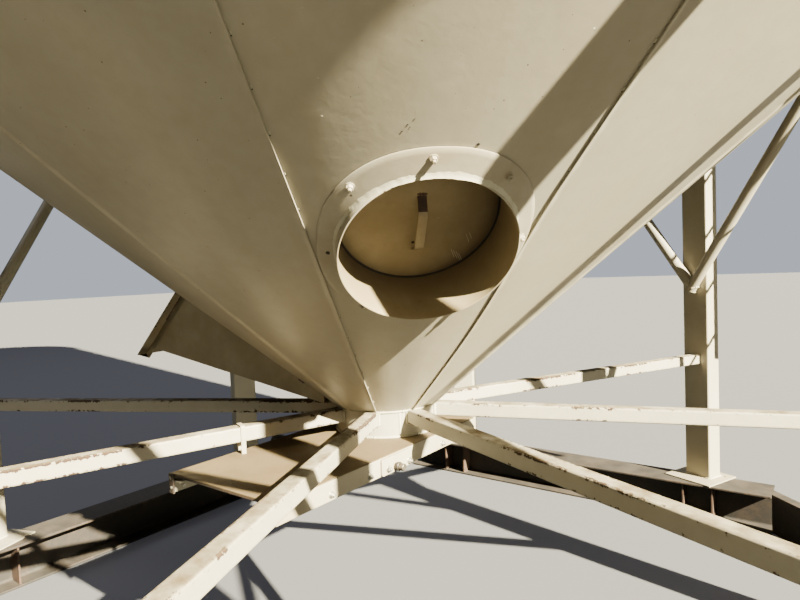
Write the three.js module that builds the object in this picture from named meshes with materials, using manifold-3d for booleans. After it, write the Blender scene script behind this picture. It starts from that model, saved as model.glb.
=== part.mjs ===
// Hopper bottom grain silo on eight legs and a steel skid. Millimetres, +Z up.
// The origin lies on the silo's axis at ground level, and the skid's beams run along X and Y.
import * as THREE from 'three';
import { mergeVertices } from 'three/addons/utils/BufferGeometryUtils.js';
import Module from 'manifold-3d';

const wasm = await Module();
wasm.setup();

// Clear space between pieces that meet, and the number of facets in the round walls.
const GAP = 0.3;
const FACETS = 96;

// Driving dimensions.
const LEG_RING = 2070;
const LEG_COUNT = 8;
const FIRST_LEG = 22.5;
const BIN_RADIUS = 2134;
const WALL_HEIGHT = 4877;
const ROOF_SLOPE = 30;
const CONE_SLOPE = 39.7;
const CONE_APEX_Z = 777;
const SHEET = 4;
const OUTLET_RADIUS = 198;

// Skid: wide flange beams under the pairs of legs, and channels that join their ends.
const BEAM = { depth: 206, flange: 204, flangeThick: 11, web: 8, offset: 1830, halfLength: 1145 };
const CORNER = { flange: 57, web: 7, flangeThick: 9, offset: 2060 };
const STIFFENER = { thick: 8, spacing: 74 };

// Legs of rectangular tube on square base plates, with a cap under the ring.
const LEG = { radial: 104, tangential: 148 };
const BASE = { radial: 255, tangential: 270, thick: 6, centre: 2043 };
const CAP = { radial: 120, tangential: 180, thick: 10 };

// Hub braces of square tube from the outlet collar to the legs.
const BRACE = { size: 52, hubZ: 921, legZ: 888 };

// Pipe braces that rise from each leg to the ring, halfway to the next leg.
const PIPE = { radius: 29, footZ: 1300, topRadius: 2078, topGap: 46, sides: 16 };

// Ring under the wall.
const RING = { height: 139, web: 8, flange: 90, flangeThick: 8, outer: 2126 };

// Slide gate in a shallow tray that points to -Y.
const TRAY = { halfWidth: 244, front: 800, back: 262, deckZ: 845, deck: 4, rail: 64, railFlange: 46 };
const PLATE = { halfWidth: 208, front: 300, back: 226, thick: 6, drop: 11 };
const RACK = { x: 136, halfWidth: 14, thick: 6, back: 165 };
const SHAFT = { y: -278, z: 800, radius: 12, pinion: 17.5, wheel: 27, wheelLength: 96, collar: 15, run: 6 };
const PAD = { front: 352, back: 186, thick: 8 };
const HANGER = { along: 584, width: 16, thick: 4 };

// Round access port on the cone, and the air transition on its far side.
const PORT = { azimuth: -44, radius: 224, wall: 4, tilt: -42, rimR: 922, rimZ: 1487 };
const PORT_DEPTH = 179;
const PORT_FLANGE = { halfHeight: 298, halfWidth: 268, thick: 5, squareness: 2.2, reach: 260 };
const COVER = { inset: 14, thick: 6 };
const STRAP = { bottom: -116, top: 63, lean: 35, height: 40, width: 24, thick: 4, aside: 4 };
const DUCT = { azimuth: 188, halfWidth: 213, wall: 4, flange: 44, bottomIn: 150, bottomInZ: 965 };
const DUCT_MOUTH = { r: 1115, z: 1155, slope: -46, length: 470 };

// Roof neck with its lid, and the ladder between +X and +Y.
const NECK = { radius: 305, height: 130, wall: 4 };
const LADDER = { azimuth: 45, offset: 175, halfWidth: 205, from: 1250, rail: 12, railDepth: 45 };
const LADDER_BRACKET = { halfThick: 4, halfHeight: 25, lap: 2 };
const RUNG = { spacing: 305, radius: 9 };

const CREAM = 0xd9cfae;
const CREAM_SHADE = 0xc9bf9e;
const DARK_STEEL = 0x3a332e;
const BARE_STEEL = 0x8b8478;
const GALVANISED = 0xa9acab;

const rad = (degrees) => THREE.MathUtils.degToRad(degrees);
const tan = (degrees) => Math.tan(rad(degrees));
const coneZ = (r) => CONE_APEX_Z + r * tan(CONE_SLOPE);
const skidTop = BEAM.depth;
const legBase = skidTop + GAP + BASE.thick;
const ringTop = coneZ(RING.outer - RING.web) - GAP;
const ringBottom = ringTop - RING.height;
const legTop = ringBottom - GAP;
const wallBottom = coneZ(BIN_RADIUS) + SHEET / Math.cos(rad(CONE_SLOPE)) + GAP;
const wallTop = wallBottom + WALL_HEIGHT;

const silo = new THREE.Group();
silo.name = 'grain_silo';

// A closed three.js geometry becomes a solid that can be joined and cut.
function solid(geometry, matrix = null) {
  const bare = geometry.clone();
  bare.deleteAttribute('normal');
  bare.deleteAttribute('uv');
  if (matrix) bare.applyMatrix4(matrix);
  const merged = mergeVertices(bare, 1e-3);
  return new wasm.Manifold(new wasm.Mesh({
    numProp: 3,
    vertProperties: Float32Array.from(merged.attributes.position.array),
    triVerts: Uint32Array.from(merged.index.array),
  }));
}

function join(solids) {
  return solids.reduce((all, next) => all.add(next));
}

// A finished solid becomes a named mesh with its own material.
function addPart(name, body, colour, roughness = 0.55, metalness = 0.1, angle = 0) {
  const mesh = body.getMesh();
  const geometry = new THREE.BufferGeometry();
  geometry.setAttribute('position', new THREE.BufferAttribute(Float32Array.from(mesh.vertProperties), 3));
  geometry.setIndex(new THREE.BufferAttribute(Uint32Array.from(mesh.triVerts), 1));
  geometry.computeVertexNormals();
  const part = new THREE.Mesh(geometry, new THREE.MeshStandardMaterial({ color: colour, roughness, metalness }));
  part.name = name;
  part.rotation.z = rad(angle);
  silo.add(part);
  return part;
}

function box(x0, x1, y0, y1, z0, z1) {
  const matrix = new THREE.Matrix4().makeTranslation((x0 + x1) / 2, (y0 + y1) / 2, (z0 + z1) / 2);
  return solid(new THREE.BoxGeometry(x1 - x0, y1 - y0, z1 - z0), matrix);
}

// Round bar between two points.
function rod(from, to, radius, sides) {
  const axis = new THREE.Vector3().subVectors(to, from);
  const turn = new THREE.Quaternion().setFromUnitVectors(new THREE.Vector3(0, 1, 0), axis.clone().normalize());
  const middle = new THREE.Vector3().addVectors(from, to).multiplyScalar(0.5);
  const matrix = new THREE.Matrix4().compose(middle, turn, new THREE.Vector3(1, 1, 1));
  return solid(new THREE.CylinderGeometry(radius, radius, axis.length(), sides), matrix);
}

// Solid turned about Z from a profile of [radius, height] points, listed anticlockwise.
// A profile that starts on the axis also ends there, and any other closes on itself.
function turned(profile, facets = FACETS) {
  const closed = profile[0][0] === 0 ? profile : [...profile, profile[0]];
  const points = closed.map(([r, z]) => new THREE.Vector2(r, z));
  return solid(new THREE.LatheGeometry(points, facets), new THREE.Matrix4().makeRotationX(Math.PI / 2));
}

// Flat outline in X and Y, raised along Z.
function raised(outline, z0, z1) {
  const shape = new THREE.Shape(outline.map(([x, y]) => new THREE.Vector2(x, y)));
  const geometry = new THREE.ExtrudeGeometry(shape, { depth: z1 - z0, bevelEnabled: false });
  return solid(geometry, new THREE.Matrix4().makeTranslation(0, 0, z0));
}

// Sector of space between two azimuths, each face half a gap inside its plane.
function sector(from, to, reach, z0, z1) {
  const middle = rad((from + to) / 2);
  const half = rad((to - from) / 2);
  const apex = GAP / 2 / Math.sin(half);
  const start = [apex * Math.cos(middle), apex * Math.sin(middle)];
  const corner = (angle, r) => [start[0] + r * Math.cos(angle), start[1] + r * Math.sin(angle)];
  const far = reach / Math.cos(half);
  return raised([start, corner(rad(from), reach * 1.4), corner(middle, far * 1.4), corner(rad(to), reach * 1.4)], z0, z1);
}

// Flat outline drawn out to both sides of its own plane, then placed by a matrix.
function placed(outline, halfDepth, matrix) {
  const shape = new THREE.Shape(outline.map(([x, y]) => new THREE.Vector2(x, y)));
  const geometry = new THREE.ExtrudeGeometry(shape, { depth: 2 * halfDepth, bevelEnabled: false });
  geometry.translate(0, 0, -halfDepth);
  return solid(geometry, matrix);
}

// Outline in X and Z, drawn out along Y from y0 to y1.
function drawnY(outline, y0, y1) {
  const shape = new THREE.Shape(outline.map(([x, z]) => new THREE.Vector2(x, z)));
  const geometry = new THREE.ExtrudeGeometry(shape, { depth: y1 - y0, bevelEnabled: false });
  const matrix = new THREE.Matrix4().makeTranslation(0, y1, 0);
  return solid(geometry, matrix.multiply(new THREE.Matrix4().makeRotationX(Math.PI / 2)));
}

// Everything above the cone's underside, out to a radius.
function spaceAboveCone(r) {
  const gap = 0.5;
  return turned([[0, coneZ(0) - gap], [r, coneZ(r) - gap], [r, coneZ(r) + 1200], [0, coneZ(r) + 1200]]);
}

function turnedTo(body, angle) {
  return body.rotate([0, 0, angle]);
}

// Skid beams: an I section with pairs of web stiffeners under the two legs that it carries.
function skidBeam(name, angle) {
  const y0 = BEAM.offset - BEAM.flange / 2;
  const y1 = BEAM.offset + BEAM.flange / 2;
  const run = BEAM.halfLength;
  const plates = [
    box(-run, run, y0, y1, 0, BEAM.flangeThick),
    box(-run, run, y0, y1, skidTop - BEAM.flangeThick, skidTop),
    box(-run, run, BEAM.offset - BEAM.web / 2, BEAM.offset + BEAM.web / 2, 1, skidTop - 1),
  ];
  const legX = LEG_RING * Math.sin(rad(FIRST_LEG));
  for (const x of [-legX - STIFFENER.spacing, -legX + STIFFENER.spacing, legX - STIFFENER.spacing, legX + STIFFENER.spacing]) {
    plates.push(box(x - STIFFENER.thick / 2, x + STIFFENER.thick / 2, y0 + 12, y1 - 12, 1, skidTop - 1));
  }
  addPart(name, join(plates), DARK_STEEL, 0.85, 0.4, angle);
}

['back', 'left', 'front', 'right'].forEach((side, i) => skidBeam(`skid_beam_${side}`, i * 90));

// Corner channels: the web faces the silo's axis, and both ends are cut to the beams' end faces.
function skidCorner(name, angle) {
  const inner = CORNER.offset;
  const outer = inner + CORNER.flange;
  const reach = 900;
  const channel = join([
    box(inner, inner + CORNER.web, -reach, reach, 0, skidTop),
    box(inner + 1, outer, -reach, reach, 0, CORNER.flangeThick),
    box(inner + 1, outer, -reach, reach, skidTop - CORNER.flangeThick, skidTop),
  ]);
  const limit = BEAM.halfLength + GAP;
  const inside = box(limit, limit + 2000, limit, limit + 2000, -10, skidTop + 10);
  addPart(name, turnedTo(channel, 45).intersect(inside), DARK_STEEL, 0.85, 0.4, angle);
}

['back_right', 'back_left', 'front_left', 'front_right'].forEach((side, i) => skidCorner(`skid_corner_${side}`, i * 90));

// Legs, each with its base plate, cap and the two pipes that spread to the ring.
function legWithBraces(name, angle) {
  const inner = LEG_RING - LEG.radial / 2;
  const outer = LEG_RING + LEG.radial / 2;
  const half = LEG.tangential / 2;
  const baseIn = BASE.centre - BASE.radial / 2;
  const baseOut = BASE.centre + BASE.radial / 2;
  const pieces = [
    box(inner, outer, -half, half, legBase - 1, legTop),
    box(baseIn, baseOut, -BASE.tangential / 2, BASE.tangential / 2, skidTop + GAP, legBase),
    box(inner - 8, inner - 8 + CAP.radial, -CAP.tangential / 2, CAP.tangential / 2, legTop - CAP.thick, legTop),
  ];
  const foot = new THREE.Vector3(inner - PIPE.radius + 4, 0, PIPE.footZ);
  const topAngle = rad(180 / LEG_COUNT) - PIPE.topGap / PIPE.topRadius;
  const below = box(0, 3000, -2000, 2000, 0, legTop);
  for (const side of [-1, 1]) {
    const x = PIPE.topRadius * Math.cos(topAngle);
    const y = side * PIPE.topRadius * Math.sin(topAngle);
    const top = new THREE.Vector3(x, y, ringBottom);
    const along = new THREE.Vector3().subVectors(top, foot).normalize();
    const start = foot.clone().addScaledVector(along, -20);
    const end = top.clone().addScaledVector(along, 60);
    const halfSpace = side > 0 ? box(0, 3000, -1, 2000, 0, 4000) : box(0, 3000, -2000, 1, 0, 4000);
    pieces.push(rod(start, end, PIPE.radius, PIPE.sides).intersect(halfSpace).intersect(below));
  }
  addPart(name, turnedTo(join(pieces), angle), CREAM);
}

for (let i = 0; i < LEG_COUNT; i += 1) {
  legWithBraces(`leg_${i + 1}`, FIRST_LEG + i * 45);
}

// Hub braces: square tubes trimmed to the underside of the cone.
function hubBrace(name, angle) {
  const start = OUTLET_RADIUS + 1;
  const end = LEG_RING - LEG.radial / 2 - GAP;
  const slope = (BRACE.legZ - BRACE.hubZ) / LEG_RING;
  const half = BRACE.size / 2;
  const z = (x) => BRACE.hubZ + slope * x;
  const outline = [[start, z(start) - half], [end, z(end) - half], [end, z(end) + half], [start, z(start) + half]];
  const bar = drawnY(outline, -half, half);
  const collar = solid(
    new THREE.CylinderGeometry(OUTLET_RADIUS + GAP, OUTLET_RADIUS + GAP, 400, FACETS),
    new THREE.Matrix4().makeTranslation(0, 0, 900).multiply(new THREE.Matrix4().makeRotationX(Math.PI / 2)),
  );
  const cone = spaceAboveCone(900);
  addPart(name, turnedTo(bar, angle).subtract(collar).subtract(cone), CREAM);
}

for (let i = 0; i < LEG_COUNT; i += 1) {
  hubBrace(`hub_brace_${i + 1}`, FIRST_LEG + i * 45);
}

// Ring: a web plate with an inward flange that lies on the legs' caps.
addPart('support_ring', turned([
  [RING.outer - RING.flange, ringBottom],
  [RING.outer, ringBottom],
  [RING.outer, ringTop],
  [RING.outer - RING.web, ringTop],
  [RING.outer - RING.web, ringBottom + RING.flangeThick],
  [RING.outer - RING.flange, ringBottom + RING.flangeThick],
]), CREAM);

// Port axis: it leaves the cone outward and downward.
const portAzimuth = rad(PORT.azimuth);
const portTilt = rad(PORT.tilt);
const portAxis = new THREE.Vector3(
  Math.cos(portTilt) * Math.cos(portAzimuth),
  Math.cos(portTilt) * Math.sin(portAzimuth),
  Math.sin(portTilt),
);
const rim = new THREE.Vector3(PORT.rimR * Math.cos(portAzimuth), PORT.rimR * Math.sin(portAzimuth), PORT.rimZ);
const alongPort = (distance) => rim.clone().addScaledVector(portAxis, distance);
const portSide = new THREE.Vector3(-Math.sin(portAzimuth), Math.cos(portAzimuth), 0);
const portUp = new THREE.Vector3().crossVectors(portAxis, portSide);

// Cone: sheets between the seams, with the port's hole cut through the front one.
const coneLift = SHEET / Math.cos(rad(CONE_SLOPE));
const coneShell = turned([
  [OUTLET_RADIUS + GAP, coneZ(OUTLET_RADIUS + GAP)],
  [BIN_RADIUS, coneZ(BIN_RADIUS)],
  [BIN_RADIUS, coneZ(BIN_RADIUS) + coneLift],
  [OUTLET_RADIUS + GAP, coneZ(OUTLET_RADIUS + GAP) + coneLift],
]);
const portHole = rod(alongPort(60), alongPort(-400), PORT.radius + GAP, 64);
const seams = [-95.5, -62, -26.2, 45.7, 118.7, 191.6, 264.5];
const coneNames = ['front_left', 'front', 'right', 'back', 'left_back', 'left'];
coneNames.forEach((side, i) => {
  const piece = coneShell.intersect(sector(seams[i], seams[i + 1], BIN_RADIUS, 800, 2700));
  addPart(`hopper_${side}`, piece.subtract(portHole), CREAM, 0.45, 0.15);
});

// Access port: a sleeve through the cone with an oval flange that follows the cone's surface.
function accessPort() {
  const { halfHeight, halfWidth, thick, squareness, reach } = PORT_FLANGE;
  const sleeve = rod(alongPort(0), alongPort(-PORT_DEPTH), PORT.radius, 64);
  const bore = rod(alongPort(10), alongPort(-PORT_DEPTH - 10), PORT.radius - PORT.wall, 64);
  const lift = (thick + GAP) / Math.cos(rad(CONE_SLOPE));
  const skin = GAP / Math.cos(rad(CONE_SLOPE));
  const flangeShell = turned([
    [300, coneZ(300) - lift],
    [1700, coneZ(1700) - lift],
    [1700, coneZ(1700) - skin],
    [300, coneZ(300) - skin],
  ]);
  // The oval is a little fuller than an ellipse.
  const full = (value) => Math.sign(value) * Math.abs(value) ** (2 / squareness);
  const oval = Array.from({ length: 64 }, (_, i) => {
    const angle = rad((i + 0.5) * 360 / 64);
    return [halfWidth * full(Math.cos(angle)), halfHeight * full(Math.sin(angle))];
  });
  const frame = new THREE.Matrix4().makeBasis(portSide, portUp, portAxis).setPosition(rim);
  const flange = flangeShell.intersect(placed(oval, reach, frame));
  addPart('access_port', sleeve.add(flange).subtract(bore), CREAM, 0.5, 0.15);
}

accessPort();

// Cover: a flat disc inside the sleeve with a strap handle, bent from a flat bar with two leaning legs.
function accessCover() {
  const inside = PORT.radius - PORT.wall - GAP;
  const face = COVER.inset - PORT_DEPTH;
  const disc = rod(alongPort(face), alongPort(face - COVER.thick), inside, 64);
  const { bottom, top, lean, height, width, thick, aside } = STRAP;
  const sunk = -2;
  const outer = (end, lift, turn) => [end + turn * lean * lift / height, lift];
  const across = thick * Math.hypot(lean, height) / height;
  const outline = [
    outer(top, sunk, -1),
    outer(top, height, -1),
    outer(bottom, height, 1),
    outer(bottom, sunk, 1),
    outer(bottom + across, sunk, 1),
    outer(bottom + across, height - thick, 1),
    outer(top - across, height - thick, -1),
    outer(top - across, sunk, -1),
  ];
  const frame = new THREE.Matrix4().makeBasis(portUp, portAxis, portSide);
  frame.setPosition(alongPort(face).addScaledVector(portSide, aside));
  addPart('access_cover', disc.add(placed(outline, width / 2, frame)), CREAM_SHADE, 0.6, 0.1);
}

accessCover();

// Outlet collar between the cone and the gate's deck.
addPart('outlet_collar', turned([
  [OUTLET_RADIUS - SHEET, TRAY.deckZ + GAP],
  [OUTLET_RADIUS, TRAY.deckZ + GAP],
  [OUTLET_RADIUS, coneZ(OUTLET_RADIUS) + coneLift],
  [OUTLET_RADIUS - SHEET, coneZ(OUTLET_RADIUS) + coneLift],
]), CREAM);

// Gate deck: a flat plate with the outlet cut through it.
function gateDeck() {
  const plate = box(-TRAY.halfWidth, TRAY.halfWidth, -TRAY.front, TRAY.back, TRAY.deckZ - TRAY.deck, TRAY.deckZ);
  const outlet = turned([[0, 700], [OUTLET_RADIUS - SHEET, 700], [OUTLET_RADIUS - SHEET, 900], [0, 900]]);
  addPart('gate_deck', plate.subtract(outlet), CREAM, 0.6, 0.15);
}

gateDeck();

// Gate rails: plates under the deck's edges, each with an inner ledge and an outer bearing pad.
function gateRail(name, side) {
  const outer = TRAY.halfWidth;
  const wall = 6;
  const top = TRAY.deckZ - TRAY.deck - GAP;
  const bottom = TRAY.deckZ - TRAY.rail;
  const ledgeTop = TRAY.deckZ - TRAY.deck - PLATE.drop - PLATE.thick - 0.5;
  const x = (a, b) => (side > 0 ? [a, b] : [-b, -a]);
  const web = box(...x(outer - wall, outer), -TRAY.front, TRAY.back, bottom, top);
  const ledge = box(...x(outer - TRAY.railFlange, outer - 1), -TRAY.front, TRAY.back, ledgeTop - 5, ledgeTop);
  const pad = box(...x(outer - 1, outer + PAD.thick), -PAD.front, -PAD.back, bottom + 2, top - 2);
  const boreAt = (reach) => new THREE.Vector3(side * (outer + reach), SHAFT.y, SHAFT.z);
  const bore = rod(boreAt(-60), boreAt(60), SHAFT.radius + 0.5, 24);
  addPart(name, join([web, ledge, pad]).subtract(bore), CREAM, 0.6, 0.15);
}

gateRail('gate_rail_near', 1);
gateRail('gate_rail_far', -1);

// Gate plate: it slides to -Y on the rails' ledges, with two racks under it.
function gatePlate() {
  const top = TRAY.deckZ - TRAY.deck - PLATE.drop;
  const bottom = top - PLATE.thick;
  const pieces = [box(-PLATE.halfWidth, PLATE.halfWidth, -PLATE.front, PLATE.back, bottom, top)];
  for (const x of [-RACK.x, RACK.x]) {
    pieces.push(box(x - RACK.halfWidth, x + RACK.halfWidth, -PLATE.front, RACK.back, bottom - RACK.thick, bottom + 1));
  }
  addPart('gate_plate', join(pieces), GALVANISED, 0.5, 0.6);
}

gatePlate();

// Gate shaft: pinions under the racks, a drive wheel outside the far rail and a collar outside the near one.
function gateShaft() {
  const at = (x) => new THREE.Vector3(x, SHAFT.y, SHAFT.z);
  const face = TRAY.halfWidth + PAD.thick + SHAFT.run;
  const pieces = [
    rod(at(-face - 10), at(face + 30), SHAFT.radius, 24),
    rod(at(-face - SHAFT.wheelLength), at(-face), SHAFT.wheel, 24),
    rod(at(face), at(face + 12), SHAFT.collar, 24),
  ];
  for (const x of [-RACK.x, RACK.x]) {
    pieces.push(rod(at(x - RACK.halfWidth), at(x + RACK.halfWidth), SHAFT.pinion, 24));
  }
  addPart('gate_shaft', join(pieces), BARE_STEEL, 0.6, 0.7);
}

gateShaft();

// Tray hanger: a flat strap that stands on the deck and passes over the sixth hub brace.
function trayHanger() {
  const slope = (BRACE.legZ - BRACE.hubZ) / LEG_RING;
  const braceTop = BRACE.hubZ + slope * HANGER.along + BRACE.size / 2 + 1;
  const inside = BRACE.size / 2 + GAP;
  const outside = inside + HANGER.thick;
  const x0 = HANGER.along - HANGER.width / 2;
  const x1 = HANGER.along + HANGER.width / 2;
  const foot = TRAY.deckZ + GAP;
  const strap = join([
    box(x0, x1, inside, outside, foot, braceTop + HANGER.thick),
    box(x0, x1, -outside, -inside, foot, braceTop + HANGER.thick),
    box(x0, x1, -outside, outside, braceTop, braceTop + HANGER.thick),
  ]);
  addPart('tray_hanger', turnedTo(strap, FIRST_LEG + 5 * 45), CREAM_SHADE, 0.7, 0.1);
}

trayHanger();

// Wall quarters.
const wallRing = turned([
  [BIN_RADIUS - SHEET, wallBottom],
  [BIN_RADIUS, wallBottom],
  [BIN_RADIUS, wallTop],
  [BIN_RADIUS - SHEET, wallTop],
]);
['right', 'back', 'left', 'front'].forEach((side, i) => {
  const piece = wallRing.intersect(sector(i * 90 - 45, i * 90 + 45, BIN_RADIUS, wallBottom - 10, wallTop + 10));
  addPart(`wall_${side}`, piece, CREAM, 0.45, 0.15);
});

// Roof quarters: a shallow cone with a lip outside the wall.
const eave = BIN_RADIUS + 22;
const roofZ = (r) => wallTop + GAP + (BIN_RADIUS - r) * tan(ROOF_SLOPE);
const roofLift = SHEET / Math.cos(rad(ROOF_SLOPE));
const roofRing = turned([
  [NECK.radius + GAP, roofZ(NECK.radius + GAP)],
  [eave, roofZ(eave)],
  [eave, roofZ(eave) + roofLift],
  [NECK.radius + GAP, roofZ(NECK.radius + GAP) + roofLift],
]);
['right', 'back', 'left', 'front'].forEach((side, i) => {
  const piece = roofRing.intersect(sector(i * 90 - 45, i * 90 + 45, eave, wallTop - 100, wallTop + 1500));
  addPart(`roof_${side}`, piece, CREAM, 0.45, 0.15);
});

// Neck at the top of the roof, with a flat lid that drops over it.
const neckBottom = roofZ(NECK.radius) - 20;
const neckTop = roofZ(NECK.radius) + NECK.height;
addPart('roof_neck', turned([
  [NECK.radius - NECK.wall, neckBottom],
  [NECK.radius, neckBottom],
  [NECK.radius, neckTop],
  [NECK.radius - NECK.wall, neckTop],
], 64), CREAM, 0.45, 0.15);
addPart('roof_lid', turned([
  [0, neckTop + GAP],
  [NECK.radius + 5, neckTop + GAP],
  [NECK.radius + 5, neckTop - 45],
  [NECK.radius + 9, neckTop - 45],
  [NECK.radius + 9, neckTop + 8],
  [0, neckTop + 60],
], 64), CREAM, 0.45, 0.15);

// Air transition: two side plates and a sloping bottom, with an angle frame at the open mouth.
function airTransition() {
  const t = DUCT.wall;
  const slope = rad(DUCT_MOUTH.slope);
  const tip = [DUCT_MOUTH.r, DUCT_MOUTH.z];
  const root = [DUCT.bottomIn, DUCT.bottomInZ];
  // A point a distance up the mouth from its lower edge, and a distance in front of it.
  const atMouth = (up, front) => [
    tip[0] - up * Math.cos(slope) - front * Math.sin(slope),
    tip[1] - up * Math.sin(slope) + front * Math.cos(slope),
  ];
  const inner = DUCT.halfWidth - t;
  const head = atMouth(DUCT_MOUTH.length, 0);
  const rise = t / Math.cos(Math.atan2(tip[1] - root[1], tip[0] - root[0]));
  const outline = [root, tip, head, [root[0], head[1]]];
  const hollow = [[root[0] - 40, root[1] + rise - 8], [tip[0], tip[1] + rise], atMouth(t, 60), atMouth(700, 60), [root[0] - 40, head[1] + 300]];
  const lip = DUCT.flange;
  const frame = [atMouth(-lip, -t), atMouth(-lip, 0), atMouth(DUCT_MOUTH.length, 0), atMouth(DUCT_MOUTH.length, -t)];
  const mouth = [atMouth(t, -60), atMouth(t, 60), atMouth(700, 60), atMouth(700, -60)];
  const body = drawnY(outline, -DUCT.halfWidth, DUCT.halfWidth)
    .subtract(drawnY(hollow, -inner, inner))
    .add(drawnY(frame, -DUCT.halfWidth - lip, DUCT.halfWidth + lip))
    .subtract(drawnY(mouth, -inner, inner));
  addPart('air_transition', turnedTo(body, DUCT.azimuth).subtract(spaceAboveCone(1700)), CREAM_SHADE, 0.6, 0.1);
}

airTransition();

// Where a faceted wall stands at a distance to the side of the ladder's middle, with the gap.
function wallFace(radius, y) {
  const step = 360 / FACETS;
  const middle = rad((Math.floor(THREE.MathUtils.radToDeg(Math.asin(y / radius)) / step) + 0.5) * step);
  return (radius * Math.cos(rad(step / 2)) - y * Math.sin(middle)) / Math.cos(middle) + GAP;
}

// Ladder: two rails and their rungs, held off the wall and the ring by brackets.
function ladder() {
  const inner = BIN_RADIUS + LADDER.offset;
  const outer = inner + LADDER.railDepth;
  const top = wallTop + 40;
  const pieces = [];
  for (const side of [-1, 1]) {
    const y0 = side * LADDER.halfWidth - LADDER.rail / 2;
    pieces.push(box(inner, outer, y0, y0 + LADDER.rail, LADDER.from, top));
  }
  for (let z = LADDER.from + 150; z < top - 60; z += RUNG.spacing) {
    const at = (y) => new THREE.Vector3((inner + outer) / 2, y, z);
    pieces.push(rod(at(-LADDER.halfWidth - 3), at(LADDER.halfWidth + 3), RUNG.radius, 8));
  }
  const { halfThick, halfHeight, lap } = LADDER_BRACKET;
  const bracket = (radius, z) => {
    const start = wallFace(radius, LADDER.halfWidth - halfThick);
    for (const side of [-1, 1]) {
      const y = side * LADDER.halfWidth;
      pieces.push(box(start, inner + lap, y - halfThick, y + halfThick, z - halfHeight, z + halfHeight));
    }
  };
  for (const z of [wallBottom + 300, wallBottom + 1800, wallBottom + 3300, wallTop - 200]) {
    bracket(BIN_RADIUS, z);
  }
  bracket(RING.outer, ringBottom + RING.height / 2);
  addPart('ladder', turnedTo(join(pieces), LADDER.azimuth), GALVANISED, 0.5, 0.6);
}

ladder();

export default silo;
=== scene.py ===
# Hopper bottom grain silo: its looks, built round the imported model. Metres, +Z up.
import math

import bmesh
import bpy
import numpy as np
from mathutils import Matrix, Vector


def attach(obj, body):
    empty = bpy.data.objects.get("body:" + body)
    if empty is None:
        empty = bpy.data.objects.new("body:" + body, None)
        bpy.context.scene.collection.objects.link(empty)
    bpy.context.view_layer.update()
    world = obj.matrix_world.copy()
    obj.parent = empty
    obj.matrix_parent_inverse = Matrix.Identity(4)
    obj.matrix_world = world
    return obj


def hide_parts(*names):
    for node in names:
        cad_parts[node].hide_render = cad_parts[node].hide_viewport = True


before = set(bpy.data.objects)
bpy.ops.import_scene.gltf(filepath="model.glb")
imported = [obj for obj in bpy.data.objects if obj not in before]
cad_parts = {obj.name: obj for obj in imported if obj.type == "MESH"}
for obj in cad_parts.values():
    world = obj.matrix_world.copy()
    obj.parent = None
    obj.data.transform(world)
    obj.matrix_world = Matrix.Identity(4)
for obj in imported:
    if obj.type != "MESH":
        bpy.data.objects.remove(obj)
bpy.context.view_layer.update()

scene = bpy.context.scene

# What the pieces share: the silo's axis is Z, and azimuths turn from +X towards +Y
silo = {
    "coneSlope": 39.7,
    "coneApex": 0.777,
    "sheet": 0.004,
    "binRadius": 2.134,
    "wallHeight": 4.877,
    "roofSlope": 30.0,
    "collarRadius": 0.198,
    "legRing": 2.070,
    "firstLeg": 22.5,
    "ringOuter": 2.126,
    "ringHeight": 0.139,
    "skidTop": 0.206,
    "gap": 0.0003,
}
coneTan = math.tan(math.radians(silo["coneSlope"]))
coneCos = math.cos(math.radians(silo["coneSlope"]))
roofTan = math.tan(math.radians(silo["roofSlope"]))
coneLift = silo["sheet"] / coneCos
ringTop = silo["coneApex"] + (silo["ringOuter"] - 0.008) * coneTan - silo["gap"]
ringBottom = ringTop - silo["ringHeight"]
legTop = ringBottom - silo["gap"]
wallBottom = silo["coneApex"] + silo["binRadius"] * coneTan + coneLift + silo["gap"]
wallTop = wallBottom + silo["wallHeight"]


# Height of the cone's lower face = the apex's + radius * tangent of its slope
def coneHeight(radius):
    return silo["coneApex"] + radius * coneTan


# Height under the roof's sheet = the wall's top + distance inside the wall * tangent of its slope
def roofHeight(radius):
    return wallTop + silo["gap"] + (silo["binRadius"] - radius) * roofTan


# A rise from 0 to 1 with soft ends
def eased(value, low, high):
    t = np.clip((value - low) / (high - low), 0.0, 1.0)
    return t * t * (3 - 2 * t)


# Direction = vector / its length
def unit(vector):
    vector = np.asarray(vector, float)
    return vector / np.linalg.norm(vector, axis=-1, keepdims=True)


# Points from azimuth, radius and height
def radial(azimuth, radius, height):
    return np.stack(np.broadcast_arrays(radius * np.cos(azimuth), radius * np.sin(azimuth), height), -1)


# Turned about Z: x = x * cos - y * sin, y = x * sin + y * cos
def aboutZ(points, degrees):
    a = math.radians(degrees)
    turn = np.array([[math.cos(a), math.sin(a), 0], [-math.sin(a), math.cos(a), 0], [0, 0, 1]])
    return np.asarray(points, float) @ turn


# Local x, y, z laid along three directions from an origin
def placed(points, origin, side, up, out):
    points = np.asarray(points, float)
    return (np.asarray(origin, float) + points[..., :1] * np.asarray(side, float)
            + points[..., 1:2] * np.asarray(up, float) + points[..., 2:3] * np.asarray(out, float))


# One shape: points and faces, with wear (on the port's cover and sleeve, painted shade) and flow at each point and the
# number of its finish
def shape(points, quads, caps=(), wear=None, flow=None, finish=0):
    points = np.asarray(points, float).reshape(-1, 3)
    return {
        "points": points,
        "quads": np.asarray(quads, int).reshape(-1, 4),
        "caps": [list(map(int, c)) for c in caps],
        "wear": np.zeros(len(points)) if wear is None else np.asarray(wear, float).ravel(),
        "flow": points.copy() if flow is None else np.asarray(flow, float).reshape(-1, 3),
        "finish": finish,
    }


# A shape with its points put through a function
def moved(made, function):
    return dict(made, points=function(made["points"]))


# Shapes turned about Z
def turned(shapes, degrees):
    return [moved(s, lambda points: aboutZ(points, degrees)) for s in shapes]


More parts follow.
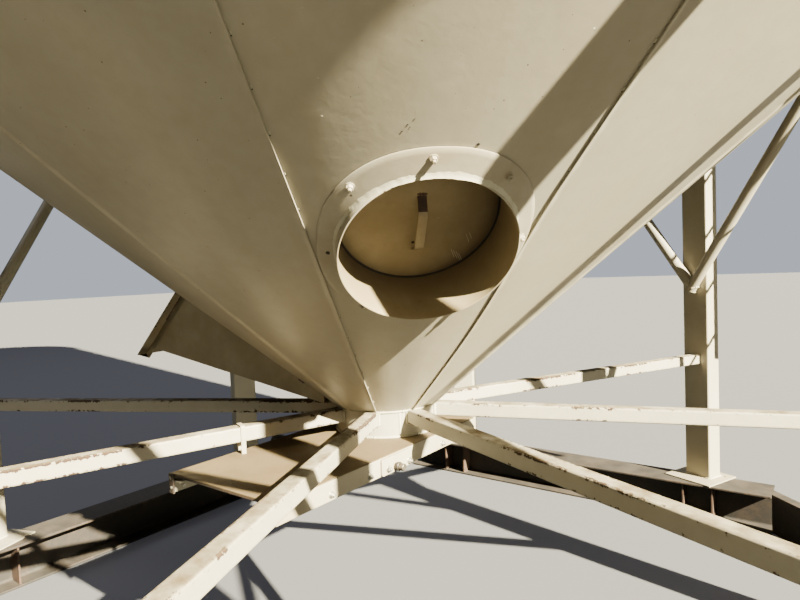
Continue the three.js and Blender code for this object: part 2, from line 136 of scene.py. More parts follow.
# Quads between the neighbours of a grid of points, rows by columns
def gridQuads(rows, columns, wrapRows=False, wrapColumns=False):
    i, j = np.meshgrid(np.arange(rows if wrapRows else rows - 1),
                       np.arange(columns if wrapColumns else columns - 1), indexing="ij")
    k, l = (i + 1) % rows, (j + 1) % columns
    return np.stack([i * columns + j, i * columns + l, k * columns + l, k * columns + j], -1).reshape(-1, 4)


# Rows of points joined into a tube with capped ends
def lofted(points, wear=None, finish=0):
    rows, columns = points.shape[:2]
    caps = [range(columns)[::-1], range((rows - 1) * columns, rows * columns)]
    worn = None if wear is None else np.broadcast_to(wear, (rows, columns))
    return shape(points, gridQuads(rows, columns, False, True), caps, worn, finish=finish)


# A closed profile at each station of a path: point = path + x * side + y * up
def carried(profile, path, side, up, wear=None, finish=0):
    path, profile = np.asarray(path, float), np.asarray(profile, float)
    side, up = (np.broadcast_to(np.asarray(v, float), path.shape) for v in (side, up))
    if profile.ndim == 2:
        profile = np.broadcast_to(profile, (len(path),) + profile.shape)
    return lofted(path[:, None] + profile[..., :1] * side[:, None] + profile[..., 1:] * up[:, None], wear, finish)


# A profile of (radius, height) turned round an axis: point = centre + height * axis + radius * (cos, sin)
def spun(profile, centre=(0, 0, 0), axis=(0, 0, 1), steps=64, wear=None, finish=0, loop=False, lead=None):
    axis = unit(axis)
    if lead is None:
        lead = np.cross([0.0, 0.0, 1.0] if abs(axis[2]) < 0.9 else [0.0, 1.0, 0.0], axis)
    lead = unit(lead)
    other = np.cross(axis, lead)
    angle = np.linspace(0, 2 * math.pi, steps, endpoint=False)[:, None, None]
    profile = np.asarray(profile, float)
    points = (np.asarray(centre, float) + profile[None, :, 1:] * axis
              + profile[None, :, :1] * (np.cos(angle) * lead + np.sin(angle) * other))
    worn = None if wear is None else np.broadcast_to(wear, points.shape[:2])
    return shape(points, gridQuads(steps, len(profile), True, loop), wear=worn, finish=finish)


# Two faces of one sheet, joined along every open edge
def thickened(outer, inner, keep=None, wear=None, flow=None):
    rows, columns = outer.shape[:2]
    quads = gridQuads(rows, columns)
    if keep is not None:
        quads = quads[keep.ravel()]
    edges = np.sort(np.concatenate([quads[:, [k, (k + 1) % 4]] for k in range(4)]), axis=1)
    single, count = np.unique(edges, axis=0, return_counts=True)
    rim = single[count == 1]
    total = rows * columns
    everything = np.concatenate([quads, quads[:, ::-1] + total,
                                 np.stack([rim[:, 0], rim[:, 1], rim[:, 1] + total, rim[:, 0] + total], -1)])
    used, place = np.unique(everything, return_inverse=True)
    points = np.concatenate([outer.reshape(-1, 3), inner.reshape(-1, 3)])[used]
    double = lambda a: None if a is None else np.concatenate([a.reshape(total, -1)] * 2)[used]
    return shape(points, place.reshape(-1, 4), wear=double(wear), flow=double(flow))


# Along a straight edge the wear falls from its corner's share to nothing between these distances
edgeWear = {"near": 0.004, "far": 0.011, "shortest": 0.026, "nearShare": 0.45}


# Corners of a flat loop turned into arcs, with points beside them where the paint is worn
def filleted(corners, radii, steps=4, worn=None):
    corners = np.asarray(corners, float)
    count = len(corners)
    radii = np.broadcast_to(radii, count)
    worn = np.ones(count) if worn is None else worn
    loop, wear, arcs = [], [], []
    for i in range(count):
        here = corners[i]
        a, b = unit(corners[i - 1] - here), unit(corners[(i + 1) % count] - here)
        half = math.acos(float(np.clip(a @ b, -1, 1))) / 2
        reach = radii[i] / math.tan(half)
        centre = here + unit(a + b) * radii[i] / math.sin(half)
        first, last = here + a * reach - centre, here + b * reach - centre
        sweep = math.acos(float(np.clip(first @ last / radii[i] ** 2, -1, 1)))
        t = np.linspace(0, 1, steps + 1)[:, None]
        arcs.append(centre + (np.sin((1 - t) * sweep) * first + np.sin(t * sweep) * last) / math.sin(sweep))
    near, far = edgeWear["near"], edgeWear["far"]
    for i in range(count):
        after = (i + 1) % count
        start, stop = arcs[i][-1], arcs[after][0]
        length = np.linalg.norm(stop - start)
        loop.append(arcs[i])
        wear.append(np.full(steps + 1, worn[i]))
        if length > edgeWear["shortest"]:
            share = np.array([near, far, length - far, length - near])[:, None] / length
            loop.append(start + (stop - start) * share)
            wear.append(edgeWear["nearShare"] * np.array([worn[i], 0, 0, worn[after]]))
    return np.concatenate(loop), np.concatenate(wear)


# Corners of a rectangle, rounded if it has a radius
def rectangle(x0, x1, y0, y1, radius=0.0, steps=3):
    corners = [(x0, y0), (x1, y0), (x1, y1), (x0, y1)]
    return filleted(corners, radius, steps)[0] if radius > 0 else np.array(corners, float)


# A flat loop raised between two heights
def slab(loop, low, high, finish=0, wear=None):
    return lofted(np.stack([np.c_[loop, np.full(len(loop), z)] for z in (low, high)]), wear, finish)


# A plate between an outer and an inner loop with as many points
def holedPlate(outer, inner, low, high, finish=0):
    n = len(outer)
    rings = np.stack([np.c_[inner, np.full(n, high)], np.c_[outer, np.full(n, high)],
                      np.c_[outer, np.full(n, low)], np.c_[inner, np.full(n, low)]])
    return shape(rings, gridQuads(4, n, True, True), finish=finish)


# Points of a rectangle's edge met by rays from a point inside it
def rayLoop(x0, x1, y0, y1, centre, angles):
    c, s = np.cos(angles), np.sin(angles)
    with np.errstate(divide="ignore"):
        tx = np.where(c > 0, (x1 - centre[0]) / c, (x0 - centre[0]) / c)
        ty = np.where(s > 0, (y1 - centre[1]) / s, (y0 - centre[1]) / s)
    t = np.minimum(np.where(np.abs(c) < 1e-9, 1e9, tx), np.where(np.abs(s) < 1e-9, 1e9, ty))
    return np.c_[centre[0] + t * c, centre[1] + t * s]


# The same path with points at even steps of its length
def resampled(path, step):
    path = np.asarray(path, float)
    length = np.r_[0, np.cumsum(np.linalg.norm(np.diff(path, axis=0), axis=1))]
    at = np.linspace(0, length[-1], max(3, int(round(length[-1] / step)) + 1))
    return np.stack([np.interp(at, length, path[:, k]) for k in range(3)], -1)


weldLook = {"ripple": 0.14, "uneven": 0.08, "thinEnd": 0.3, "taper": 0.7, "sunk": 0.4}


# Weld bead: a half round ridge along a path, swollen by ripples and thin at its ends
def bead(path, normal, width, height, seed, ripple=0.007, step=0.004, finish=0):
    path = resampled(path, step)
    normal = np.asarray(normal, float)
    if normal.ndim > 1:
        at, known = np.linspace(0, 1, len(path)), np.linspace(0, 1, len(normal))
        normal = np.stack([np.interp(at, known, normal[:, k]) for k in range(3)], -1)
    normal = np.broadcast_to(normal, path.shape)
    side = unit(np.cross(unit(np.gradient(path, axis=0)), normal))
    distance = np.arange(len(path)) * step
    uneven = np.random.default_rng(seed).normal(0, weldLook["uneven"], len(path))
    swell = 1 + weldLook["ripple"] * np.sin(distance / ripple * 2 * math.pi) + uneven
    fromEnd = np.minimum(distance, distance[-1] - distance)
    swell *= np.minimum(1, weldLook["thinEnd"] + fromEnd / (weldLook["taper"] * width))
    angle = np.linspace(0, math.pi, 7)
    ridge = np.stack([np.cos(angle) * width / 2, np.sin(angle) * height], -1)
    low = -height * weldLook["sunk"]
    ridge = np.concatenate([ridge, [[-width / 2, low], [width / 2, low]]])
    return carried(swell[:, None, None] * ridge, path, side, normal, finish=finish)


fastener = {"crown": 0.18, "top": 0.86, "washer": 0.72, "washerThick": 0.0016, "seat": 0.0014, "stud": 0.3}


# Hex nut along an axis: a profile turned round it in six steps
def hexBlock(centre, axis, across, height, turn=0.0, finish=0):
    r = across / math.sqrt(3)
    profile = [(0, 0), (r, 0), (r, height * (1 - fastener["crown"])), (r * fastener["top"], height), (0, height)]
    axis = unit(axis)
    lead = unit(np.cross([0.13, 0.31, 1.0] if abs(axis[2]) < 0.9 else [0.2, 1.0, 0.1], axis))
    lead = lead * math.cos(turn) + np.cross(axis, lead) * math.sin(turn)
    return spun(profile, centre, axis, 6, finish=finish, lead=lead)


# A disc on a face: its radius is less by the edge at its top
def roundBlock(centre, axis, radius, height, steps, finish=0, edge=0.0006):
    profile = [(0, 0), (radius, 0), (radius, height - edge), (radius - edge, height), (0, height)]
    return spun(profile, centre, axis, steps, finish=finish)


# Half section of a round bar with its ends chamfered
def barProfile(radius, low, high, cut):
    return [(0, low), (radius - cut, low), (radius, low + cut), (radius, high - cut), (radius - cut, high), (0, high)]


# A bolt's washer, nut and stud on a face
def nutAndStud(centre, axis, across, height, stud=0.0, turn=0.0, finish=0):
    centre, axis = np.asarray(centre, float), unit(axis)
    made = [roundBlock(centre, axis, across * fastener["washer"], fastener["washerThick"], 20, finish),
            hexBlock(centre + axis * fastener["seat"], axis, across, height, turn, finish)]
    if stud:
        length = fastener["washerThick"] + stud
        made.append(roundBlock(centre + axis * height, axis, across * fastener["stud"], length, 14, finish, 0.001))
    return made


# All the shapes of one piece become one mesh that rides on a body
def makePiece(name, shapes, finishes, replaces=(), body="silo", crease=34, bevel=0.0):
    offsets = np.cumsum([0] + [len(s["points"]) for s in shapes])
    faces, picks = [], []
    for base, s in zip(offsets, shapes):
        faces += (s["quads"] + base).tolist() + [[v + int(base) for v in c] for c in s["caps"]]
        picks += [s["finish"]] * (len(s["quads"]) + len(s["caps"]))
    mesh = bpy.data.meshes.new(name)
    mesh.from_pydata(np.concatenate([s["points"] for s in shapes]).tolist(), [], faces)
    mesh.polygons.foreach_set("material_index", np.array(picks, np.int32))
    for label, kind, key in (("wear", "FLOAT", "value"), ("flow", "FLOAT_VECTOR", "vector")):
        values = np.concatenate([s[label] for s in shapes]).astype(np.float32).ravel()
        mesh.attributes.new(label, kind, "POINT").data.foreach_set(key, values)
    work = bmesh.new()
    work.from_mesh(mesh)
    bmesh.ops.remove_doubles(work, verts=work.verts, dist=2e-6)
    bmesh.ops.recalc_face_normals(work, faces=work.faces)
    work.to_mesh(mesh)
    work.free()
    for finish in finishes:
        mesh.materials.append(finish)
    mesh.shade_smooth()
    mesh.set_sharp_from_angle(angle=math.radians(crease))
    piece = bpy.data.objects.new(name, mesh)
    scene.collection.objects.link(piece)
    if bevel > 0:
        edges = piece.modifiers.new("edges", "BEVEL")
        edges.width, edges.segments = bevel, 2
        edges.limit_method, edges.angle_limit = "ANGLE", math.radians(40)
        edges.harden_normals = True
    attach(piece, body)
    if replaces:
        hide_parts(*replaces)


# Camera: where the photograph was taken from, with its roll
cameraPlace = {"place": (1.473, -1.840, 1.453), "azimuth": 127.0, "down": 2.76, "roll": 2.245, "lens": 26.89}
azimuth, down, roll = (math.radians(cameraPlace[k]) for k in ("azimuth", "down", "roll"))
ahead = np.array([math.cos(azimuth) * math.cos(down), math.sin(azimuth) * math.cos(down), -math.sin(down)])
level = np.array([math.sin(azimuth), -math.cos(azimuth), 0.0])
above = np.cross(level, ahead)
right = math.cos(roll) * level - math.sin(roll) * above
top = math.sin(roll) * level + math.cos(roll) * above
cameraData = bpy.data.cameras.new("photoCamera")
cameraData.lens, cameraData.sensor_width = cameraPlace["lens"], 36.0
cameraData.clip_start, cameraData.clip_end = 0.02, 200.0
camera = bpy.data.objects.new("photoCamera", cameraData)
facing = Matrix((right, top, -ahead)).transposed().to_4x4()
camera.matrix_world = Matrix.Translation(Vector(cameraPlace["place"])) @ facing
scene.collection.objects.link(camera)
scene.camera = camera
print("camera placed")


# Sockets are linked to a node's inputs, and other values are set
def plug(tree, inputs, values):
    for key, value in values.items():
        if isinstance(value, bpy.types.NodeSocket):
            tree.links.new(value, inputs[key])
        else:
            inputs[key].default_value = value


# A new node with its settings and the values of its inputs
def put(tree, kind, values=None, **settings):
    made = tree.nodes.new("ShaderNode" + kind)
    for key, value in settings.items():
        setattr(made, key, value)
    plug(tree, made.inputs, values or {})
    return made


# A Math node on two values
def sums(tree, operation, a, b=0.0, clamp=False):
    return put(tree, "Math", {0: a, 1: b}, operation=operation, use_clamp=clamp).outputs[0]


# a * b
def times(tree, a, b):
    return sums(tree, "MULTIPLY", a, b)


# A value's soft rise from 0 to 1 between two limits
def rise(tree, value, low, high):
    values = {"Value": value, "From Min": low, "From Max": high}
    return put(tree, "MapRange", values, interpolation_type="SMOOTHSTEP").outputs[0]


# Noise from 0 to 1 at a place
def noisy(tree, place, scale, detail, roughness=0.5):
    return put(tree, "TexNoise", {"Vector": place, "Scale": scale, "Detail": detail, "Roughness": roughness}).outputs[0]


# Colour = a + share * (b - a)
def blendColour(tree, share, a, b):
    return put(tree, "Mix", {0: share, 6: a, 7: b}, data_type="RGBA").outputs[2]


# A tone laid over a colour by a mask times a share
def laid(tree, colour, mask, share, tone):
    return blendColour(tree, times(tree, mask, share), colour, tone)


# Light of a screen colour in steps of 255: s / 12.92 when dark, or ((s + 0.055) / 1.055) ^ 2.4
def linear(red, green, blue):
    values = np.array([red, green, blue]) / 255
    return (*np.where(values <= 0.04045, values / 12.92, ((values + 0.055) / 1.055) ** 2.4), 1.0)


# Studio: a low key from the right, two broad lamps too high to reach under the hopper, a pale floor
studio = {
    "key": {"azimuth": -10.5, "elevation": 29.3, "distance": 12.0, "watts": 74.0, "spread": 0.7,
            "colour": (1.0, 0.915, 0.63)},
    "left": {"azimuth": -125.0, "elevation": 42.0, "distance": 16.0, "watts": 600.0, "size": 8.0,
             "colour": (0.95, 0.97, 1.0)},
    "back": {"azimuth": 140.0, "elevation": 42.0, "distance": 16.0, "watts": 600.0, "size": 8.0,
             "colour": (1.0, 0.98, 0.95)},
    "aim": (0, 0, 3.5),
    "sky": (0.81, 0.88, 1.0),
    "skyLow": 0.030, "skyHigh": 0.5, "skyFrom": 0.4, "skySeen": 0.62,
    "floorSeen": (0.080, 0.081, 0.095),
    "floorBounce": (0.0022, 0.0031, 0.0060),
    "floorGlow": 0.30,
    "floorHalf": 60,
}
for lampName in ("key", "left", "back"):
    lamp = studio[lampName]
    data = bpy.data.lights.new(lampName, "SUN" if lampName == "key" else "AREA")
    data.energy, data.color = lamp["watts"], lamp["colour"]
    if lampName == "key":
        data.angle = math.radians(lamp["spread"])
    else:
        data.shape, data.size = "DISK", lamp["size"]
    a, e = math.radians(lamp["azimuth"]), math.radians(lamp["elevation"])
    outward = Vector((math.cos(a) * math.cos(e), math.sin(a) * math.cos(e), math.sin(e)))
    lampObject = bpy.data.objects.new(lampName, data)
    lampObject.location = Vector(studio["aim"]) + lamp["distance"] * outward
    lampObject.rotation_mode = "QUATERNION"
    lampObject.rotation_quaternion = outward.to_track_quat("Z", "Y")
    lampObject.visible_camera = False
    scene.collection.objects.link(lampObject)


# The camera sees a paler floor and sky than the light that they give back
world = bpy.data.worlds.new("studio")
world.use_nodes = True
tree = world.node_tree
seen = put(tree, "LightPath").outputs["Is Camera Ray"]
upward = put(tree, "SeparateXYZ", {0: put(tree, "TexCoord").outputs["Object"]}).outputs[2]
given = put(tree, "MapRange", {"Value": upward, "From Min": studio["skyFrom"], "To Min": studio["skyLow"],
                               "To Max": studio["skyHigh"]}).outputs[0]
shine = put(tree, "MapRange", {"Value": seen, "To Min": given, "To Max": studio["skySeen"]}).outputs[0]
plug(tree, tree.nodes["Background"].inputs, {"Color": (*studio["sky"], 1), "Strength": shine})
scene.world = world
f = studio["floorHalf"]
floorMesh = bpy.data.meshes.new("floor")
floorMesh.from_pydata([(-f, -f, 0), (f, -f, 0), (f, f, 0), (-f, f, 0)], [], [(0, 1, 2, 3)])
floorPaint = bpy.data.materials.new("floorPaint")
floorPaint.use_nodes = True
tree = floorPaint.node_tree
seen = put(tree, "LightPath").outputs["Is Camera Ray"]
floorColour = blendColour(tree, seen, (*studio["floorBounce"], 1), (*studio["floorSeen"], 1))
plug(tree, tree.nodes["Principled BSDF"].inputs, {
    "Base Color": floorColour, "Emission Strength": times(tree, seen, studio["floorGlow"]),
    "Emission Color": (*studio["floorSeen"], 1), "Roughness": 0.9})
floorMesh.materials.append(floorPaint)
floor = bpy.data.objects.new("floor", floorMesh)
scene.collection.objects.link(floor)
print("studio lit")


# A node group with named inputs and outputs; its maker wires the inside
def newGroup(name, inputs, outputs, wire):
    group = bpy.data.node_groups.new(name, "ShaderNodeTree")
    kinds = {"value": "NodeSocketFloat", "vector": "NodeSocketVector", "colour": "NodeSocketColor"}
    for label, kind, start in inputs:
        socket = group.interface.new_socket(name=label, in_out="INPUT", socket_type=kinds[kind])
        if start is not None:
            socket.default_value = start
    for label, kind in outputs:
        group.interface.new_socket(name=label, in_out="OUTPUT", socket_type=kinds[kind])
    entry, leave = group.nodes.new("NodeGroupInput"), group.nodes.new("NodeGroupOutput")
    for label, socket in wire(group, entry.outputs).items():
        group.links.new(socket, leave.inputs[label])
    return group


# Round marks of mixed sizes, one in each chosen cell of a loose lattice
def wireSpecks(tree, given):
    closeness = sums(tree, "DIVIDE", 1.0, given["Spacing"])
    spread = put(tree, "VectorMath", {0: given["Place"], "Scale": closeness}, operation="SCALE").outputs[0]
    cells = put(tree, "TexVoronoi", {"Vector": spread, "Scale": 1.0, "Randomness": 0.95})
    parts = put(tree, "SeparateColor", {0: cells.outputs["Color"]}).outputs
    reach = times(tree, given["Size"], sums(tree, "ADD", 0.35, parts[1]))
    far = rise(tree, cells.outputs["Distance"], times(tree, reach, 0.6), reach)
    chosen = sums(tree, "LESS_THAN", parts[0], given["Share"])
    return {"Mask": times(tree, sums(tree, "SUBTRACT", 1.0, far), chosen)}


# Soft uneven patches, from 0 to 1
def wirePatches(tree, given):
    return {"Mask": rise(tree, noisy(tree, given["Place"], given["Scale"], 4.0, 0.58), 0.32, 0.68)}


# Paint lost where the wear attribute is high, a rough noise agrees and a slow noise gathers the marks
def wireChips(tree, given):
    coarse = noisy(tree, given["Place"], given["Scale"], 6.0, 0.66)
    slow = noisy(tree, given["Place"], 3.4, 2.0)
    gathered = sums(tree, "ADD", 0.35, times(tree, rise(tree, slow, 0.44, 0.6), 0.65))
    level = sums(tree, "ADD", coarse, times(tree, times(tree, given["Wear"], gathered), given["Gain"]))
    edge = sums(tree, "SUBTRACT", 1.0, given["Amount"])
    return {"Mask": rise(tree, level, edge, sums(tree, "ADD", edge, 0.025)),
            "Halo": rise(tree, level, sums(tree, "SUBTRACT", edge, 0.07), edge)}


# Dust that lies on faces turned upwards
def wireSettled(tree, given):
    height = put(tree, "SeparateXYZ", {0: put(tree, "NewGeometry").outputs["Normal"]}).outputs[2]
    noise = noisy(tree, given["Place"], given["Scale"], 5.0, 0.62)
    return {"Mask": times(tree, rise(tree, height, 0.35, 0.95), rise(tree, noise, 0.25, 0.72))}


# Stains that run along the second flow direction, thin across the first
def wireRuns(tree, given):
    stretch = put(tree, "VectorMath", {0: given["Flow"], 1: (1.0, 0.055, 1.0)}, operation="MULTIPLY").outputs[0]
    noise = noisy(tree, stretch, given["Scale"], 3.0)
    return {"Mask": rise(tree, noise, 0.42, 0.72), "Height": noise}


# Rust: red brown to black patches with a rough skin
def wireRust(tree, given):
    noise = noisy(tree, given["Place"], given["Scale"], 8.0, 0.7)
    colours = blendColour(tree, rise(tree, noise, 0.36, 0.62), given["Dark"], given["Bright"])
    return {"Colour": colours, "Height": noise}


place = ("Place", "vector", None)
specks = newGroup("specks", [place, ("Spacing", "value", 0.05), ("Size", "value", 0.1), ("Share", "value", 0.5)],
                  [("Mask", "value")], wireSpecks)
patches = newGroup("patches", [place, ("Scale", "value", 2.0)], [("Mask", "value")], wirePatches)
chips = newGroup("chips", [place, ("Wear", "value", 0.0), ("Scale", "value", 30.0), ("Gain", "value", 0.3),
                           ("Amount", "value", 0.3)], [("Mask", "value"), ("Halo", "value")], wireChips)
settled = newGroup("settled", [place, ("Scale", "value", 9.0)], [("Mask", "value")], wireSettled)
runs = newGroup("runs", [("Flow", "vector", None), ("Scale", "value", 14.0)],
                [("Mask", "value"), ("Height", "value")], wireRuns)
rust = newGroup("rust", [place, ("Scale", "value", 40.0), ("Dark", "colour", None), ("Bright", "colour", None)],
                [("Colour", "colour"), ("Height", "value")], wireRust)


# A node group placed in a material with its own values
def useGroup(tree, group, values):
    return put(tree, "Group", values, node_tree=group).outputs


# What every finish starts with: its tree, shader inputs, coordinates, and its own values over the usual ones
def newFinish(name, usual, look):
    finish = bpy.data.materials.new(name)
    finish.use_nodes = True
    tree = finish.node_tree
    inputs = tree.nodes["Principled BSDF"].inputs
    return finish, tree, inputs, put(tree, "TexCoord").outputs["Object"], {**usual, **look}


# An attribute of the mesh, read in a material
def attribute(tree, name, output):
    return put(tree, "Attribute", attribute_name=name).outputs[output]


# A normal from a height
def bumped(tree, strength, distance, height):
    return put(tree, "Bump", {"Strength": strength, "Distance": distance, "Height": height}).outputs[0]


# Rust with a finish's own scale and tones
def rusted(tree, place, look):
    return useGroup(tree, rust, {"Place": place, "Scale": look["rustScale"], "Dark": look["rustDark"],
                                 "Bright": look["rustBright"]})


# Lost paint with a finish's own scale, gain and amount
def chipped(tree, place, wear, look):
    return useGroup(tree, chips, {"Place": place, "Wear": wear, "Scale": look["chipScale"], "Gain": look["chipGain"],
                                  "Amount": look["chipAmount"]})


# Dust's mask times its share
def dusted(tree, place, look):
    mask = useGroup(tree, settled, {"Place": place, "Scale": look["dustScale"]})["Mask"]
    return times(tree, mask, look["dustShare"])


paintUsual = {
    "paint": linear(158, 152, 137), "worn": linear(138, 129, 110), "patchScale": 1.7, "patchShare": 0.55,
    "fineScale": 26.0, "fineShare": 0.22, "gloss": 0.42, "wave": 0.0, "waveScale": 9.0, "grain": 0.12,
    "grime": 0.0, "grimeColour": linear(64, 50, 32), "smudge": 0.0, "smudgeColour": linear(120, 98, 66),
    "speckShare": 0.2, "speckSpacing": 0.035, "speckSize": 0.09, "speckDark": 0.85, "speckColour": linear(66, 48, 34),
    "paleShare": 0.0, "paleSpacing": 0.11, "paleSize": 0.028, "paleColour": linear(236, 230, 210),
    "chipAmount": 0.18, "chipGain": 0.24, "chipScale": 85.0, "haloShare": 0.22, "rustScale": 60.0,
    "rustDark": linear(30, 22, 17), "rustBright": linear(56, 39, 28),
    "runShare": 0.0, "runScale": 14.0, "runColour": linear(150, 130, 96),
    "dustShare": 0.5, "dustScale": 11.0, "dustColour": linear(112, 99, 76),
}


# Painted steel: patchy paint, painted shade laid by the wear attribute where a finish asks for it, specks, runs, lost
# paint with rust in it, and dust on top
def paintedSteel(name, look):
    finish, tree, inputs, place, look = newFinish(name, paintUsual, look)
    flow, wear = attribute(tree, "flow", "Vector"), attribute(tree, "wear", "Fac")
    broad = useGroup(tree, patches, {"Place": place, "Scale": look["patchScale"]})["Mask"]
    fine = useGroup(tree, patches, {"Place": place, "Scale": look["fineScale"]})["Mask"]
    colour = laid(tree, look["paint"], broad, look["patchShare"], look["worn"])
    colour = laid(tree, colour, fine, look["fineShare"], look["worn"])
    if look["smudge"]:
        cloud = rise(tree, noisy(tree, place, 5.5, 7.0, 0.68), 0.4, 0.68)
        colour = laid(tree, colour, cloud, look["smudge"], look["smudgeColour"])
    # Painted shade: a darker tone where the wear attribute is high
    if look["grime"]:
        colour = laid(tree, colour, wear, look["grime"], look["grimeColour"])
    if look["runShare"]:
        run = useGroup(tree, runs, {"Flow": flow, "Scale": look["runScale"]})["Mask"]
        colour = laid(tree, colour, run, look["runShare"], look["runColour"])
    if look["speckShare"]:
        dense = useGroup(tree, patches, {"Place": place, "Scale": 3.1})["Mask"]
        dots = useGroup(tree, specks, {"Place": place, "Spacing": look["speckSpacing"], "Size": look["speckSize"],
                                       "Share": times(tree, dense, look["speckShare"])})["Mask"]
        colour = laid(tree, colour, dots, look["speckDark"], look["speckColour"])
    if look["paleShare"]:
        pale = useGroup(tree, specks, {"Place": place, "Spacing": look["paleSpacing"], "Size": look["paleSize"],
                                       "Share": look["paleShare"]})["Mask"]
        colour = blendColour(tree, pale, colour, look["paleColour"])
    lost = chipped(tree, place, wear, look)
    red = rusted(tree, place, look)
    colour = laid(tree, colour, lost["Halo"], look["haloShare"], look["rustBright"])
    colour = blendColour(tree, lost["Mask"], colour, red["Colour"])
    dust = dusted(tree, place, look)
    colour = blendColour(tree, dust, colour, look["dustColour"])
    rough = sums(tree, "ADD", look["gloss"], times(tree, broad, 0.1))
    rough = sums(tree, "ADD", rough, times(tree, dust, 0.4))
    rough = sums(tree, "ADD", rough, times(tree, lost["Mask"], 0.4), clamp=True)
    relief = sums(tree, "SUBTRACT", times(tree, fine, look["grain"]), times(tree, lost["Mask"], 0.6))
    if look["wave"]:
        marks = useGroup(tree, runs, {"Flow": flow, "Scale": look["waveScale"]})["Height"]
        relief = sums(tree, "ADD", relief, times(tree, marks, look["wave"]))
    plug(tree, inputs, {"Base Color": colour, "Roughness": rough, "Specular IOR Level": 0.45,
                        "Normal": bumped(tree, 0.5, 0.0016, relief)})
    return finish


darkUsual = {
    "base": linear(28, 25, 23), "rustDark": linear(34, 27, 23), "rustBright": linear(72, 54, 42),
    "rustShare": 0.35, "coverScale": 9.0, "rustScale": 55.0, "metal": 0.0, "gloss": 0.72, "relief": 0.8,
    "chipScale": 60.0, "chipGain": 0.26, "chipAmount": 0.27, "wearShare": 0.7, "wearColour": linear(66, 50, 38),
    "dustShare": 0.35, "dustScale": 8.0, "dustColour": linear(76, 69, 60),
}


# Bare and blackened steel: rust over a dark skin, with dust on top
def darkSteel(name, look):
    finish, tree, inputs, place, look = newFinish(name, darkUsual, look)
    wear = attribute(tree, "wear", "Fac")
    cover = useGroup(tree, patches, {"Place": place, "Scale": look["coverScale"]})["Mask"]
    red = rusted(tree, place, look)
    colour = laid(tree, look["base"], cover, look["rustShare"], red["Colour"])
    colour = laid(tree, colour, chipped(tree, place, wear, look)["Mask"], look["wearShare"], look["wearColour"])
    dust = dusted(tree, place, look)
    colour = blendColour(tree, dust, colour, look["dustColour"])
    rough = sums(tree, "ADD", look["gloss"], times(tree, dust, 0.25), clamp=True)
    relief = times(tree, red["Height"], look["relief"])
    plug(tree, inputs, {"Base Color": colour, "Roughness": rough, "Metallic": look["metal"],
                        "Normal": bumped(tree, 0.6, 0.002, relief)})
    return finish


zincUsual = {
    "bright": linear(196, 194, 186), "dull": linear(132, 130, 124), "cloudScale": 60.0, "metal": 0.85,
    "gloss": 0.42, "rustShare": 0.25, "rustScale": 160.0, "rustDark": linear(60, 38, 24),
    "rustBright": linear(128, 84, 50),
}


# Zinc: bright metal with a cloudy skin and a little rust
def zincSteel(name, look):
    finish, tree, inputs, place, look = newFinish(name, zincUsual, look)
    cloud = useGroup(tree, patches, {"Place": place, "Scale": look["cloudScale"]})["Mask"]
    colour = blendColour(tree, cloud, look["bright"], look["dull"])
    red = rusted(tree, place, look)
    spots = times(tree, rise(tree, red["Height"], 0.56, 0.68), look["rustShare"])
    plug(tree, inputs, {
        "Base Color": blendColour(tree, spots, colour, red["Colour"]),
        "Roughness": sums(tree, "ADD", look["gloss"], times(tree, cloud, 0.16)),
        "Metallic": times(tree, look["metal"], sums(tree, "SUBTRACT", 1.0, spots)),
        "Normal": bumped(tree, 0.3, 0.0008, red["Height"])})
    return finish


coneCream = paintedSteel("coneCream", {
    "gloss": 0.34, "wave": 0.55, "runShare": 0.14, "runScale": 11.0, "speckShare": 0.6, "speckSpacing": 0.019,
    "paleShare": 0.14, "chipAmount": 0.1, "dustShare": 0.2})
wallCream = paintedSteel("wallCream", {
    "gloss": 0.4, "wave": 0.25, "runShare": 0.22, "runScale": 5.0, "speckShare": 0.12, "chipAmount": 0.1,
    "patchScale": 0.8})
tubeCream = paintedSteel("tubeCream", {
    "gloss": 0.46, "speckShare": 0.5, "speckSpacing": 0.028, "chipAmount": 0.29, "chipGain": 0.3, "chipScale": 60.0,
    "dustShare": 1.0, "dustColour": linear(84, 70, 48)})
legCream = paintedSteel("legCream", {
    "gloss": 0.4, "speckShare": 0.45, "speckSpacing": 0.026, "speckSize": 0.08, "chipAmount": 0.16, "chipGain": 0.2,
    "dustShare": 0.6})
plateCream = paintedSteel("plateCream", {
    "gloss": 0.5, "speckShare": 0.4, "chipAmount": 0.3, "rustBright": linear(132, 80, 44), "dustShare": 0.5})
portCream = paintedSteel("portCream", {
    "gloss": 0.45, "speckShare": 0.24, "chipAmount": 0.05, "chipGain": 0.0, "smudge": 0.3, "dustShare": 0.3})
# Port's inside and cover: dust, and a painted shade share that darkens them by the wear attribute
portDust = paintedSteel("portDust", {
    "paint": linear(142, 129, 101), "worn": linear(123, 108, 79), "gloss": 0.6, "patchScale": 6.0, "patchShare": 0.8,
    "smudge": 0.35, "smudgeColour": linear(120, 100, 68), "speckShare": 0.5, "chipAmount": 0.05, "chipGain": 0.0,
    "grime": 0.85})
strapDust = paintedSteel("strapDust", {
    "paint": linear(150, 138, 111), "worn": linear(128, 113, 84), "smudge": 0.5, "gloss": 0.55, "chipAmount": 0.05,
    "speckShare": 0.4})
caulk = paintedSteel("caulk", {
    "paint": linear(182, 179, 163), "worn": linear(156, 149, 127), "gloss": 0.6, "patchScale": 14.0, "grain": 0.8,
    "speckShare": 0.4, "chipAmount": 0.1, "smudge": 0.25})
deckCream = paintedSteel("deckCream", {
    "paint": linear(92, 78, 54), "worn": linear(78, 64, 42), "patchScale": 5.0, "patchShare": 0.8, "gloss": 0.58,
    "chipAmount": 0.17, "smudge": 0.35, "dustShare": 0.85, "dustColour": linear(84, 69, 46), "speckShare": 0.35})
ductCream = paintedSteel("ductCream", {
    "paint": linear(150, 141, 118), "worn": linear(116, 103, 80), "patchScale": 3.0, "patchShare": 0.8, "gloss": 0.5,
    "chipAmount": 0.2, "smudge": 0.45, "speckShare": 0.5})
